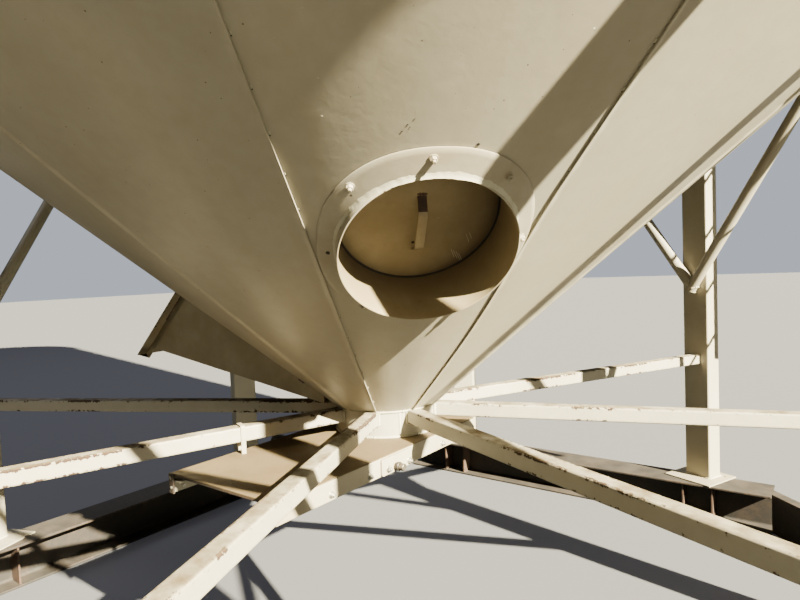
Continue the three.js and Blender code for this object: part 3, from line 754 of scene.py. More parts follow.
skidBlack = darkSteel("skidBlack", {})
# Dark rust for plates and welds, also painted shade on the cover strap's upper leg
plateRust = darkSteel("plateRust", {
    "base": linear(58, 43, 35), "rustShare": 0.6, "rustBright": linear(82, 56, 42), "dustShare": 0.4})
lipBrown = darkSteel("lipBrown", {"base": linear(44, 35, 28), "dustShare": 0.2})
# Near black: the cover's dark joint, and painted shade for empty holes
holeDark = darkSteel("holeDark", {"base": linear(14, 11, 9), "rustShare": 0.2, "dustShare": 0.0, "relief": 0.2})
darkIron = darkSteel("darkIron", {
    "base": linear(52, 49, 46), "rustShare": 0.3, "metal": 0.3, "gloss": 0.5, "dustShare": 0.3, "relief": 0.3})
boltZinc = zincSteel("boltZinc", {"rustShare": 0.45})
paintedBolt = paintedSteel("paintedBolt", {
    "gloss": 0.5, "chipAmount": 0.3, "speckShare": 0.6, "speckSpacing": 0.008, "smudge": 0.4})
plateZinc = zincSteel("plateZinc", {"cloudScale": 22.0, "gloss": 0.36, "rustShare": 0.15})
ladderZinc = zincSteel("ladderZinc", {"cloudScale": 30.0, "gloss": 0.46, "rustShare": 0.12})
shaftSteel = zincSteel("shaftSteel", {
    "bright": linear(140, 132, 122), "dull": linear(92, 84, 76), "gloss": 0.4, "rustShare": 0.6})
print("finishes ready")


# Access port: places on it are measured across its axis, and the cone's sheet is cut round it
port = {
    "azimuth": -44.0, "tilt": -42.0, "rimR": 0.922, "rimZ": 1.487, "radius": 0.224, "wall": 0.004, "depth": 0.179,
    "flangeHigh": 0.298, "flangeWide": 0.268, "flangeThick": 0.005, "gasket": 0.0022, "squareness": 2.2,
    "dish": 0.007, "round": 0.0012, "steps": 192, "caulk": (0.0055, 0.0085), "caulkRise": 0.45, "caulkUneven": 0.3,
    "nut": 0.0150, "nutHeight": 0.0085, "stud": 0.006, "holeThick": 0.0006, "holeEdge": 0.0002,
    "nuts": [(-0.194, 0.189), (-0.023, 0.271), (0.158, 0.215), (0.246, 0.006), (-0.146, -0.232), (0.026, -0.288),
             (0.134, -0.258)],
    "emptyHole": (-0.240, -0.029, 0.0060), "strayHole": (0.070, 0.300, 0.0036),
}
portAz, portTilt = math.radians(port["azimuth"]), math.radians(port["tilt"])
portAxis = radial(portAz, math.cos(portTilt), math.sin(portTilt))
portSide = np.array([-math.sin(portAz), math.cos(portAz), 0.0])
portUp = np.cross(portAxis, portSide)
portRim = radial(portAz, port["rimR"], port["rimZ"])

# Cone: rolled sheets lapped at the seams, every other one proud, with shallow oil-canning
cone = {
    "seams": [-95.5, -62.0, -27.0, 9.3, 45.7, 82.2, 118.7, 155.1, 191.6, 228.0, 264.5],
    "drift": {2: 3.2},
    "driftOver": (0.45, 1.05),
    "pieces": {"hopper_front_left": [0], "hopper_front": [1], "hopper_right": [2, 3], "hopper_back": [4, 5],
               "hopper_left_back": [6, 7], "hopper_left": [8, 9]},
    "lap": 0.014,
    "step": 0.0056,
    "ramp": (0.0008, 0.014),
    "bulge": 0.007,
    "worn": 0.006,
    "canning": 0.0012,
    "rows": 150,
    "middleColumns": 26,
    "edgeColumns": [0, 0.003, 0.007, 0.012, 0.018, 0.025, 0.034, 0.05],
    "flatEdge": (0.02, 0.14),
    "flatOutlet": (0.24, 0.5),
    "flatWall": (1.95, 2.1),
    "flatPort": (0.31, 0.45),
    "flowTurn": 1.3,
}
stitch = {"first": 0.34, "last": 2.75, "spacing": 0.106, "length": 0.010, "width": 0.0046, "height": 0.0016,
          "clear": 0.31, "outermost": 2.12, "aside": 0.002, "lift": 0.0004, "scorch": 0.0018}
buckle = {"seed": 11, "waves": 9, "around": 5, "along": 2.2, "level": 3.0}
draw = np.random.default_rng(buckle["seed"]).uniform
waves = [(draw(1.4, 4.2), draw(-3.2, 3.2), draw(0, 2 * math.pi), draw(0.4, 1.0)) for _ in range(buckle["waves"])]


# Sum of slow waves over azimuth and slope length, each with a whole count round the silo
def buckled(azimuth, slope):
    total = np.zeros(np.broadcast(azimuth, slope).shape)
    for across, down, start, size in waves:
        count = round(across * buckle["around"])
        total = total + size * np.sin(count * azimuth + down * buckle["along"] * slope + start)
    return total / buckle["level"]


# Azimuth of a seam at a radius: a straight generatrix, or one that drifts near the outlet
def seamAngle(number, radius):
    drift = cone["drift"].get(number, 0.0) * (1 - eased(radius, *cone["driftOver"]))
    return np.radians(cone["seams"][number] + drift)


# Out of the cone's lower face: sine of the slope along the radius, minus its cosine along Z
def coneNormal(azimuth):
    return radial(azimuth, math.sqrt(1 - coneCos ** 2), -coneCos)


# Point under the cone: azimuth and radius, pushed out along the cone's normal
def conePoint(azimuth, radius, push):
    return radial(azimuth, radius, coneHeight(radius)) + np.asarray(push)[..., None] * coneNormal(azimuth)


# Place across the port's axis, along its side and up directions
def portPlace(points):
    away = points - portRim
    return away @ portSide, away @ portUp


# Distance from the port's axis = root of side^2 + up^2
def portDistance(points):
    return np.hypot(*portPlace(points))


# One sheet: push = slow waves that fade at the edges + a step at a proud sheet's laps that falls off inward.
# Column places are arc distances, close together at the laps
def coneSheet(number):
    radius = np.linspace(silo["collarRadius"] + silo["gap"], silo["binRadius"], cone["rows"])[:, None]
    first, last = seamAngle(number, radius), seamAngle(number + 1, radius)
    proud = number % 2 == 0
    lap = 0.0 if proud else -cone["lap"]
    width = (last - first) * radius - 2 * lap
    edge = np.array(cone["edgeColumns"])
    share = np.linspace(0, 1, cone["middleColumns"] + 2)[None, 1:-1]
    middle = edge[-1] + (width - 2 * edge[-1]) * share
    along = np.concatenate([edge + 0 * radius, middle, width - edge[::-1]], axis=1)
    azimuth = first + (lap + along) / radius
    fromEdge = np.minimum(along, width - along) + lap
    radius = radius + 0 * azimuth
    slope = radius / coneCos
    fade = eased(fromEdge, *cone["flatEdge"]) * eased(radius, *cone["flatOutlet"])
    fade = fade * (1 - eased(radius, *cone["flatWall"]))
    fade = fade * eased(portDistance(conePoint(azimuth, radius, 0)), *cone["flatPort"])
    push = cone["canning"] * buckled(azimuth, slope) * fade
    worn = 0 * azimuth
    if proud:
        beside = np.clip(np.cos(2 * math.pi * (slope - stitch["first"]) / stitch["spacing"]), 0, 1) ** 4
        rampEnd = cone["ramp"][1] + cone["bulge"] * beside
        push = push + cone["step"] * (1 - eased(fromEdge, cone["ramp"][0], rampEnd))
        worn = 0.8 * (1 - eased(fromEdge, 0.0, cone["worn"]))
    keep = None
    if number == 1:
        hole = port["radius"] + silo["gap"]
        within = portDistance(conePoint(azimuth, radius, push)) < hole
        keep = ~(within[:-1, :-1] & within[1:, :-1] & within[:-1, 1:] & within[1:, 1:])
        for _ in range(3):  # points inside the hole move out to its edge
            points = conePoint(azimuth, radius, push)
            side, up = portPlace(points)
            reach = np.hypot(side, up)
            grow = np.where(reach < hole, hole / np.maximum(reach, 1e-6) - 1, 0)[..., None]
            points = points + grow * (side[..., None] * portSide + up[..., None] * portUp)
            azimuth, radius = np.arctan2(points[..., 1], points[..., 0]), np.hypot(points[..., 0], points[..., 1])
    flow = np.stack([azimuth * cone["flowTurn"], slope, 0 * azimuth], -1)
    inner = conePoint(azimuth, radius, push - silo["sheet"])
    return thickened(conePoint(azimuth, radius, push), inner, keep, worn, flow)


for nodeName, numbers in cone["pieces"].items():
    makePiece("cone_" + nodeName[7:], [coneSheet(n) for n in numbers], [coneCream], [nodeName], crease=40)

# Stitch welds along each seam, on the side of the sheet that lies beneath, each with a small dark disc at its end
stitches = []
for n in range(len(cone["seams"]) - 1):
    side = -1 if n % 2 == 0 else 1
    for k, slope in enumerate(np.arange(stitch["first"], stitch["last"], stitch["spacing"])):
        radii = (slope + np.linspace(-0.5, 0.5, 3) * stitch["length"]) * coneCos
        angles = seamAngle(n, radii) + side * stitch["aside"] / radii
        path = conePoint(angles, radii, stitch["lift"])
        if radii[-1] > stitch["outermost"] or portDistance(path).min() < stitch["clear"]:
            continue
        normal = coneNormal(angles[1])
        start = path[0] + normal * stitch["lift"]
        stitches += [bead(path, normal, stitch["width"], stitch["height"], seed=n * 31 + k),
                     roundBlock(start, normal, stitch["scorch"], 0.0006, 10, finish=1, edge=0.0002)]

# Lost paint on the cone, by azimuth, radius and size, in short ragged groups
marks = {
    "dark": [(-48.70, 1.150, 0.0022), (-48.14, 1.163, 0.0015), (-47.50, 1.173, 0.0012), (-47.9, 1.158, 0.0010)],
    "pale": [(-56.16, 1.346, 0.0030), (-58.72, 1.310, 0.0026), (-55.99, 1.246, 0.0024), (-61.20, 1.245, 0.0022),
             (-56.30, 1.183, 0.0022)],
    "points": 14, "long": 1.5, "wide": 0.8, "share": 0.6, "uneven": 0.35, "lift": 0.0006, "low": -0.0006,
    "high": -0.0001,
}
ragged = np.random.default_rng(21)
markTurn = np.linspace(0, 2 * math.pi, marks["points"], endpoint=False)
for tone, finish in (("dark", 1), ("pale", 0)):
    for degrees, radius, width in marks[tone]:
        middle, normal = conePoint(math.radians(degrees), radius, marks["lift"]), coneNormal(math.radians(degrees))
        side = unit(np.cross(normal, [0, 0, 1.0]))
        uneven = marks["share"] * width * (1 + marks["uneven"] * ragged.normal(size=marks["points"]))
        edge = uneven[:, None] * np.c_[marks["long"] * np.cos(markTurn), marks["wide"] * np.sin(markTurn)]
        mark = slab(edge, marks["low"], marks["high"], finish)
        stitches.append(moved(mark, lambda points: placed(points, middle, side, np.cross(normal, side), normal)))
makePiece("cone_stitches", stitches, [caulk, darkIron], crease=60)
print("cone rolled")


# Where lines along the port's axis meet the cone pushed out by some distance
def onFlange(side, up, push):
    side, up, push = np.broadcast_arrays(np.asarray(side, float), up, push)
    start = portRim + side[..., None] * portSide + up[..., None] * portUp
    t = np.zeros(side.shape)
    for _ in range(12):
        p = start + t[..., None] * portAxis
        r = np.hypot(p[..., 0], p[..., 1])
        miss = p[..., 2] - coneHeight(r) + push / coneCos
        t = t - miss / (portAxis[2] - coneTan * (p[..., 0] * portAxis[0] + p[..., 1] * portAxis[1]) / r)
    return start + t[..., None] * portAxis


# Access port: a sleeve through the cone, an oval flange that follows the cone, its caulk and its nuts
around = np.linspace(0, 2 * math.pi, port["steps"], endpoint=False)
rOut, rIn, thick, dish = port["radius"], port["radius"] - port["wall"], port["flangeThick"], port["dish"]
sleeveRows = [(rOut, -port["depth"]), (rOut, -port["round"]), (rOut - port["round"], 0), (rIn + port["round"], 0),
              (rIn, -port["round"]), (rIn, -0.05), (rIn, -0.10), (rIn, -0.15), (rIn, -port["depth"])]
# Painted shade: the wear values down the sleeve's inside rise with depth, and the inner faces' finish darkens it deeper
# in
sleeve = spun(sleeveRows, portRim, portAxis, port["steps"], wear=[0, 0, 0, 0, 0, 0.3, 0.6, 0.85, 1], loop=True)
innerFaces = sleeve["quads"][:, 0] % len(sleeveRows) >= 3
sleeveShapes = [dict(sleeve, quads=sleeve["quads"][~innerFaces]), dict(sleeve, quads=sleeve["quads"][innerFaces], finish=1)]

# The oval's edge is |x / a|^n + |y / b|^n = 1, and rows inside it blend towards the sleeve's circle
full = lambda value: np.sign(value) * np.abs(value) ** (2 / port["squareness"])
flangeRows = np.array([(0.0, thick + dish), (0.4, thick + 0.6 * dish), (0.78, thick + 0.22 * dish),
                       (0.97, thick + 0.03 * dish), (1.0, thick - port["round"]), (1.0, port["gasket"]),
                       (0.91, port["gasket"]), (0.91, 0.0), (0.0, 0.0)])
share = flangeRows[:, 0]
flangeSide, flangeUp = ((1 - share) * rOut * turn(around)[:, None] + share * port[size] * full(turn(around))[:, None]
                        for turn, size in ((np.cos, "flangeWide"), (np.sin, "flangeHigh")))
flange = onFlange(flangeSide, flangeUp, flangeRows[:, 1] + silo["gap"])
flangeShape = shape(flange, gridQuads(port["steps"], len(flangeRows), True, True))
blobs = np.random.default_rng(5)
lumps = sum(blobs.uniform(0.3, 1) * np.sin(k * around + blobs.uniform(0, 6.3)) for k in (7, 13, 22, 37, 55, 71)) / 3
fillet = (port["caulk"][0] + port["caulk"][1] * np.clip(np.sin(around), 0, 1)) * (1 + port["caulkUneven"] * lumps)
caulkRows = np.array([(0.0, 0.0), (1.0, 0.0), (0.62, 0.22), (0.3, 0.5), (0.0, 0.95)])
caulkReach = rOut - 0.0006 + caulkRows[:, 0] * fillet[:, None]
caulkLift = (silo["gap"] + thick + dish * (1 - caulkRows[:, 0] * 0.1)
             + caulkRows[:, 1] * port["caulkRise"] * fillet[:, None])
caulkRing = onFlange(caulkReach * np.cos(around)[:, None], caulkReach * np.sin(around)[:, None], caulkLift)
caulkShape = shape(caulkRing, gridQuads(port["steps"], len(caulkRows), True, True), finish=2)
makePiece("access_port_sleeve", sleeveShapes + [flangeShape, caulkShape], [portCream, portDust, caulk],
          ["access_port"], crease=38)


# Height of the dished flange over the cone: it falls from the sleeve to nothing at the oval's edge
def flangeLift(x, y):
    reach, power = math.hypot(x, y), port["squareness"]
    oval = (abs(x) / port["flangeWide"]) ** power + (abs(y) / port["flangeHigh"]) ** power
    edge = reach / oval ** (1 / power)
    return thick + dish * max(0.0, (edge - reach) / (edge - rOut))


portNuts = []
for k, (x, y) in enumerate(port["nuts"]):
    foot = onFlange(x, y, silo["gap"] + flangeLift(x, y))
    normal = coneNormal(math.atan2(foot[1], foot[0]))
    portNuts += nutAndStud(foot, normal, port["nut"], port["nutHeight"], port["stud"], turn=k * 0.37)
# Dark discs as painted shade where the flange and the cone have empty holes
for x, y, size in (port["emptyHole"], port["strayHole"]):
    foot = onFlange(x, y, silo["gap"] + (flangeLift(x, y) if math.hypot(x, y) < port["flangeWide"] else 0.0))
    normal = coneNormal(math.atan2(foot[1], foot[0]))
    portNuts.append(roundBlock(foot, normal, size, port["holeThick"], 20, finish=1, edge=port["holeEdge"]))
makePiece("port_nuts", portNuts, [paintedBolt, holeDark], crease=30)

# Cover inside the sleeve: a shallow dished plate with a dark joint round it and a strap handle on leaning legs
cover = {
    "radius": port["radius"] - port["wall"] - 0.0003, "face": -0.165, "thick": 0.006, "joint": 0.006, "steps": 96,
    "dome": [(0, 0.001), (0.035, 0.001), (0.07, 0.001), (0.105, 0.001), (0.14, 0.0007), (0.175, 0.0003), (0.195, 0)],
    "strapWidth": 0.024, "strapThick": 0.004, "aside": 0.004,
    "strap": [(0.0603, 0.0005), (0.0460, 0.0164), (0.0323, 0.0320), (0.0293, 0.0353), (0.0255, 0.0373),
              (0.020, 0.038), (-0.073, 0.038), (-0.0785, 0.0373), (-0.0823, 0.0353), (-0.0853, 0.0320),
              (-0.1133, 0.0005)],
    "weld": [(-0.010, 0.066), (0.018, 0.066)], "hole": (-0.006, -0.090, 0.0006),
    "scratches": [(0.104, -0.118, 0.118, -0.150), (0.112, -0.124, 0.128, -0.156), (0.120, -0.128, 0.137, -0.163),
                  (0.128, -0.134, 0.141, -0.160), (0.139, -0.066, 0.152, -0.096), (0.147, -0.062, 0.158, -0.084),
                  (0.030, -0.008, 0.074, -0.012), (0.074, -0.012, 0.082, 0.002)],
}
face, coverR = cover["face"], cover["radius"]
# Points on the cover by their side, up and height over its face
onCover = lambda points: placed(np.asarray(points, float) + [0, 0, face], portRim, portSide, portUp, portAxis)
coverRows = [(r, face + z) for r, z in cover["dome"]] + [
    (coverR - 0.008, face), (coverR - 0.003, face - 0.002), (coverR, face - 0.004), (coverR, face - cover["thick"]),
    (0, face - cover["thick"])]
coverDisc = spun(coverRows, portRim, portAxis, cover["steps"])
# Painted shade: these wear values rise towards the cover's right side and its rim, where its finish darkens it
side, up = portPlace(coverDisc["points"])
toRight, outFrom = (0.86 * side - 0.30 * up) / coverR, np.hypot(side, up) / coverR
coverDisc["wear"] = np.clip(0.75 * eased(toRight, 0.0, 0.95) + 0.45 * eased(outFrom, 0.82, 1.0), 0, 1)
edgeOut = coverR - 0.0001
edgeIn = edgeOut - cover["joint"]
jointRows = [(edgeIn, face - 0.002), (edgeIn, face + 0.0004), (edgeOut - 0.001, face + 0.0012),
             (edgeOut, face + 0.0012), (edgeOut, face - 0.002)]
coverShapes = [coverDisc, spun(jointRows, portRim, portAxis, cover["steps"], finish=3, loop=True)]
strapLine = onCover([(cover["aside"], up, height) for up, height in cover["strap"]])
strapUp = unit(np.cross(unit(np.gradient(strapLine, axis=0)), portSide))
strapHalf, strapEdge = cover["strapWidth"] / 2, cover["strapThick"] / 2
strapLoop = rectangle(-strapHalf, strapHalf, -strapEdge, strapEdge, 0.001, 2)
# The upper leaning leg takes the dark rust finish as painted shade, the rest the strap's own dusty finish
for a, b, finish in ((0, 3, 2), (2, len(strapLine), 4)):
    coverShapes.append(carried(strapLoop, strapLine[a:b], portSide, strapUp[a:b], finish=finish))
coverShapes.append(bead(onCover([(x, y, 0) for x, y in cover["weld"]]), portAxis, 0.009, 0.004, seed=3, finish=2))
# A dark disc as painted shade for a hole in the cover
coverShapes.append(roundBlock(onCover(cover["hole"]), portAxis, 0.0045, 0.0010, 16, finish=3))
for k, (a, b, c, d) in enumerate(cover["scratches"]):
    line = onCover([(a, b, 0.0004), (c, d, 0.0004)])
    coverShapes.append(bead(line, portAxis, 0.0014, 0.0006, seed=k, ripple=0.02, finish=1))
makePiece("port_cover", coverShapes, [portDust, portCream, plateRust, holeDark, strapDust], ["access_cover"],
          crease=36)
print("access port built")

# Outlet collar with its beads
collar = {"bottom": 0.8453, "wall": 0.004, "steps": 128, "lowBead": 0.8485, "seam": -38.0, "seamFrom": 0.850,
          "seamTo": 0.938}
cr, collarTop = silo["collarRadius"], coneHeight(silo["collarRadius"]) + coneLift
collarIn = cr - collar["wall"]
collarRows = [(cr, collar["bottom"]), (cr, collarTop), (collarIn, collarTop), (collarIn, collar["bottom"])]
collarShapes = [spun(collarRows, steps=collar["steps"], loop=True)]
fullTurn = np.linspace(0, 2 * math.pi, 200)
outward = radial(fullTurn, 1.0, 0.0)
for radius, height, lean, width, rise, seed in ((cr + 0.001, collar["lowBead"], 1.0, 0.010, 0.0045, 2),
                                                (cr + 0.002, coneHeight(cr) - 0.001, -0.6, 0.009, 0.004, 9)):
    line = radial(fullTurn, radius, height)
    collarShapes.append(bead(line, unit(outward + [0, 0, lean]), width, rise, seed=seed, finish=1))
seamAt = math.radians(collar["seam"])
seamLine = radial(seamAt, cr, np.array([collar["seamFrom"], collar["seamTo"]]))
collarShapes.append(bead(seamLine, radial(seamAt, 1.0, 0.0), 0.008, 0.0025, seed=4, finish=1))
makePiece("outlet_ring", collarShapes, [tubeCream, caulk], ["outlet_collar"])

# Hub braces: rounded square tubes from the collar out to the legs, trimmed under the cone
brace = {"size": 0.052, "corner": 0.006, "hubZ": 0.921, "legZ": 0.888, "weld": 0.008, "hubWeld": 0.005,
         "legWeld": 0.004, "under": 0.0008, "outer": silo["legRing"] - 0.052 - silo["gap"]}
braceSlope = (brace["legZ"] - brace["hubZ"]) / silo["legRing"]
halfBrace = brace["size"] / 2


# Azimuth of a leg and of its brace
def legTurn(number):
    return silo["firstLeg"] + 45 * (number - 1)


# Height = the hub's + slope * x + the section's, cut off just under the cone
def hubBrace(number):
    b = halfBrace
    loop, wear = filleted([(-b, -b), (b, -b), (b, b), (-b, b)], brace["corner"], 4, [0.75, 0.75, 1.0, 1.0])
    start = np.sqrt((silo["collarRadius"] + silo["gap"]) ** 2 - loop[:, 0] ** 2)
    share = np.concatenate([np.linspace(0, 0.03, 6), np.linspace(0.05, 1, 40)])[:, None]
    x = start + share * (brace["outer"] - start)
    y = loop[:, 0] + 0 * x
    z = np.minimum(brace["hubZ"] + braceSlope * x + loop[:, 1], coneHeight(np.hypot(x, y)) - brace["under"])
    rim = np.stack([x[0] + 0.003, y[0] * 1.04, z[0]], -1)
    rim = rim[rim[:, 2] < brace["hubZ"] + b - 0.008]
    order = np.argsort(np.arctan2(rim[:, 1], -(rim[:, 2] - brace["hubZ"])))
    legX, c = brace["outer"] - 0.002, b + 0.001
    legZ = brace["hubZ"] + braceSlope * legX
    foot = [(legX, -c, legZ - b), (legX, c, legZ - b), (legX, c, legZ + b), (legX, -c, legZ + b), (legX, -c, legZ - b)]
    return [lofted(np.stack([x, y, z], -1), wear),
            bead(rim[order], [1.0, 0, 0], brace["weld"], brace["hubWeld"], seed=number, finish=1),
            bead(foot, [-1.0, 0, 0], brace["weld"], brace["legWeld"], seed=40 + number, finish=1)]


for n in range(1, 9):
    shapes = turned(hubBrace(n), legTurn(n))
    makePiece("brace_tube_%d" % n, shapes, [tubeCream, caulk], ["hub_brace_%d" % n], crease=32)
print("braces cut")

# Legs: rounded tubes on base plates, with caps and the pipes that spread to the ring
legLook = {
    "radial": 0.104, "tangential": 0.148, "corner": 0.009, "baseRadial": 0.255, "baseTangential": 0.270,
    "baseThick": 0.006, "baseCentre": 2.043, "baseHole": (-0.002, -0.095, 0.009), "capRadial": 0.120,
    "capTangential": 0.180, "capThick": 0.010, "capIn": 0.008, "pipe": 0.029, "pipeStart": 0.020, "footZ": 1.300,
    "pipeTop": 2.078, "pipeGap": 0.046, "pipeWorn": 0.25, "pipeWeld": (0.008, 0.004),
    "climb": [(0.010, -0.020), (0.065, 0.095)], "climbWeld": (0.009, 0.005), "groundWeld": (0.012, 0.006),
}
legBase = silo["skidTop"] + silo["gap"] + legLook["baseThick"]


# Post = a rounded rectangle carried up Z, and each pipe = a circle carried from the foot to the ring
def legShapes(number):
    inner, outer = silo["legRing"] - legLook["radial"] / 2, silo["legRing"] + legLook["radial"] / 2
    half = legLook["tangential"] / 2
    corners = [(inner, -half), (outer, -half), (outer, half), (inner, half)]
    loop, wear = filleted(corners, legLook["corner"], 4)
    heights = np.linspace(legBase - 0.001, legTop - legLook["capThick"] + 0.001, 60)
    shapes = [carried(loop, radial(0.0, 0.0, heights), [1, 0, 0], [0, 1, 0], wear)]

    baseIn, baseOut = (legLook["baseCentre"] + side * legLook["baseRadial"] / 2 for side in (-1, 1))
    baseHalf = legLook["baseTangential"] / 2
    holeAt, holeR = (outer + legLook["baseHole"][0], legLook["baseHole"][1]), legLook["baseHole"][2]
    toCorners = [math.atan2(y - holeAt[1], x - holeAt[0]) for x in (baseIn, baseOut) for y in (-baseHalf, baseHalf)]
    turn = np.sort(np.concatenate([np.linspace(-math.pi, math.pi, 32, endpoint=False), toCorners]))
    hole = np.c_[holeAt[0] + holeR * np.cos(turn), holeAt[1] + holeR * np.sin(turn)]
    edge = rayLoop(baseIn, baseOut, -baseHalf, baseHalf, holeAt, turn)
    shapes.append(holedPlate(edge, hole, silo["skidTop"] + silo["gap"], legBase, finish=1))
    capIn, capHalf = inner - legLook["capIn"], legLook["capTangential"] / 2
    cap = rectangle(capIn, capIn + legLook["capRadial"], -capHalf, capHalf, 0.006)
    shapes.append(slab(cap, legTop - legLook["capThick"], legTop))

    foot = np.array([inner - legLook["pipe"] + 0.004, 0, legLook["footZ"]])
    lean = math.radians(22.5) - legLook["pipeGap"] / legLook["pipeTop"]
    circle = np.linspace(0, 2 * math.pi, 24, endpoint=False)[:, None]
    for side in (-1, 1):
        along = unit(radial(side * lean, legLook["pipeTop"], ringBottom) - foot)
        across = unit(np.cross(along, [1.0, 0, 0]))
        ringPoints = legLook["pipe"] * (np.cos(circle) * across + np.sin(circle) * np.cross(along, across))
        start = foot - legLook["pipeStart"] * along
        stop = (legTop - start[2] - ringPoints[:, 2]) / along[2]  # each line of the pipe ends level with the ring
        share = np.linspace(0, 1, 24)[:, None, None]
        shapes.append(lofted(start + ringPoints + share * stop[:, None] * along, legLook["pipeWorn"]))
        edge = start + ringPoints + along * 0.001
        edge = edge[edge[:, 0] > inner - 0.042]
        if len(edge) > 2:
            edge = edge[np.argsort(edge[:, 1])]
            shapes.append(bead(edge, -along, *legLook["pipeWeld"], seed=number, finish=2))
    for side in (-1, 1):
        climb = [(inner - 0.001, side * y, legLook["footZ"] + z) for y, z in legLook["climb"]]
        shapes.append(bead(climb, [-1.0, 0, 0], *legLook["climbWeld"], seed=60 + number, finish=2))
    ground = [(x, y, legBase) for x, y in corners + corners[:1]]
    shapes.append(bead(ground, [0, 0, 1.0], *legLook["groundWeld"], seed=80 + number, finish=2))
    return shapes


for n in range(1, 9):
    shapes = turned(legShapes(n), legTurn(n))
    makePiece("leg_post_%d" % n, shapes, [legCream, plateCream, caulk], ["leg_%d" % n], crease=34)
print("legs stood")

# Skid: wide flange beams with web stiffeners, and channels across the corners
beam = {"depth": 0.206, "flange": 0.204, "flangeThick": 0.011, "web": 0.008, "offset": 1.830, "half": 1.145,
        "root": 0.012, "edge": 0.002, "stiffener": 0.008, "stiffenerIn": 0.012, "spacing": 0.074, "clip": 0.016,
        "weld": (0.008, 0.004)}
legAcross = silo["legRing"] * math.sin(math.radians(silo["firstLeg"]))


# Beam = an H section with filleted roots carried along x, and each stiffener = a flat plate set across it
def skidBeam():
    f, t, w, d = beam["flange"] / 2, beam["flangeThick"], beam["web"] / 2, beam["depth"]
    corners = [(-f, 0), (f, 0), (f, t), (w, t), (w, d - t), (f, d - t), (f, d), (-f, d), (-f, d - t), (-w, d - t),
               (-w, t), (-f, t)]
    radii = [beam["edge"], beam["edge"], beam["edge"], beam["root"], beam["root"], beam["edge"]] * 2
    loop, wear = filleted(corners, radii, 3, [0.6, 0.6, 0.6, 0, 0, 1, 1, 1, 1, 0, 0, 0.6])
    x = np.linspace(-beam["half"], beam["half"], 40)
    path = np.stack([x, np.full(40, beam["offset"]), 0 * x], -1)
    shapes = [carried(loop, path, [0, 1, 0], [0, 0, 1], wear)]
    c, thin = beam["clip"], beam["stiffener"] / 2
    a, b, low, high = w - 0.001, f - beam["stiffenerIn"], t - 0.001, d - t + 0.001
    outline = np.array([(a, low + c), (a + c, low), (b, low), (b, high), (a + c, high), (a, high - c)])
    for x in (leg + side * beam["spacing"] for leg in (-legAcross, legAcross) for side in (-1, 1)):
        for side in (-1, 1):
            plate = slab(outline[::side], -thin, thin, finish=1, wear=0.35)
            across = lambda points: np.stack([x + points[:, 2], beam["offset"] + side * points[:, 0], points[:, 1]], -1)
            foot = [(x + 0.005, beam["offset"] + side * y, low + 0.001) for y in (a + c, b)]
            shapes += [moved(plate, across), bead(foot, unit([1.0, 0, 1.0]), *beam["weld"], seed=7, finish=1)]
    return shapes


for n, side in enumerate(("back", "left", "front", "right")):
    makePiece("skid_rail_" + side, turned(skidBeam(), 90 * n), [skidBlack, plateRust], ["skid_beam_" + side],
              crease=32)

channel = {"inner": 2.060, "flange": 0.057, "web": 0.007, "thick": 0.009, "limit": 1.1453,
           "radii": [0.003, 0.002, 0.003, 0.006, 0.006, 0.003, 0.002, 0.003], "worn": [1, 0.6, 0.6, 0, 0, 1, 1, 1]}


# Channel across a corner, cut to the beams: at d from the axis its half length is d less the limit's diagonal
def cornerChannel():
    i, w, t, d = channel["inner"], channel["web"], channel["thick"], silo["skidTop"]
    o = i + channel["flange"]
    corners = [(i, 0), (o, 0), (o, t), (i + w, t), (i + w, d - t), (o, d - t), (o, d), (i, d)]
    loop, wear = filleted(corners, channel["radii"], 3, channel["worn"])
    along = np.linspace(-1, 1, 24)[:, None] * (loop[:, 0] - channel["limit"] * math.sqrt(2))
    return lofted(aboutZ(np.stack([loop[:, 0] + 0 * along, along, loop[:, 1] + 0 * along], -1), 45), wear)


for n, side in enumerate(("back_right", "back_left", "front_left", "front_right")):
    makePiece("skid_channel_" + side, turned([cornerChannel()], 90 * n), [skidBlack], ["skid_corner_" + side],
              crease=32)
print("skid laid")

# Slide gate: the deck with its folded edge, the rails with their bearing pads, the plate, its racks and the shaft
gate = {
    "half": 0.244, "front": -0.800, "back": 0.262, "deckZ": 0.845, "deck": 0.004, "rail": 0.064, "ledge": 0.046,
    "ledgeThick": 0.005, "web": 0.006, "railRadii": [0.0015, 0.0015, 0.0015, 0.001, 0.0015, 0.0015, 0.001, 0.0015],
    "lipLow": 0.011, "lipThick": 0.004, "lipGap": 0.0002,
    "plateHalf": 0.208, "plateFront": -0.300, "plateBack": 0.226, "plateThick": 0.006, "drop": 0.011,
    "rackX": 0.136, "rackHalf": 0.014, "rackThick": 0.006, "rackBack": 0.165, "toothPitch": 0.0113,
    "tooth": (0, 0.003, 0.0055, 0.0085), "toothHigh": 0.0042,
    "shaftY": -0.278, "shaftZ": 0.800, "shaft": 0.012, "shaftOut": (0.010, 0.030), "pinion": 0.0175, "teeth": 10,
    "pinionLow": 0.0045, "wheel": 0.027, "wheelLength": 0.096, "wheelHub": 0.008, "collar": 0.015,
    "collarLength": 0.012, "run": 0.006,
    "padFront": -0.352, "padBack": -0.186, "pad": 0.008,
    "railBolts": [(-0.585, 0.799), (-0.405, 0.799), (0.02, 0.799), (0.20, 0.799)],
    "padBolts": [(-0.319, 0.800), (-0.203, 0.797)],
}
deckLow = gate["deckZ"] - gate["deck"]
plateTop = deckLow - gate["drop"]
plateLow = plateTop - gate["plateThick"]
toCorners = [math.atan2(y, x) for x in (-gate["half"], gate["half"]) for y in (gate["front"], gate["back"])]
turn = np.sort(np.concatenate([np.linspace(-math.pi, math.pi, 128, endpoint=False), toCorners]))
deckHole = (silo["collarRadius"] - silo["sheet"]) * np.c_[np.cos(turn), np.sin(turn)]
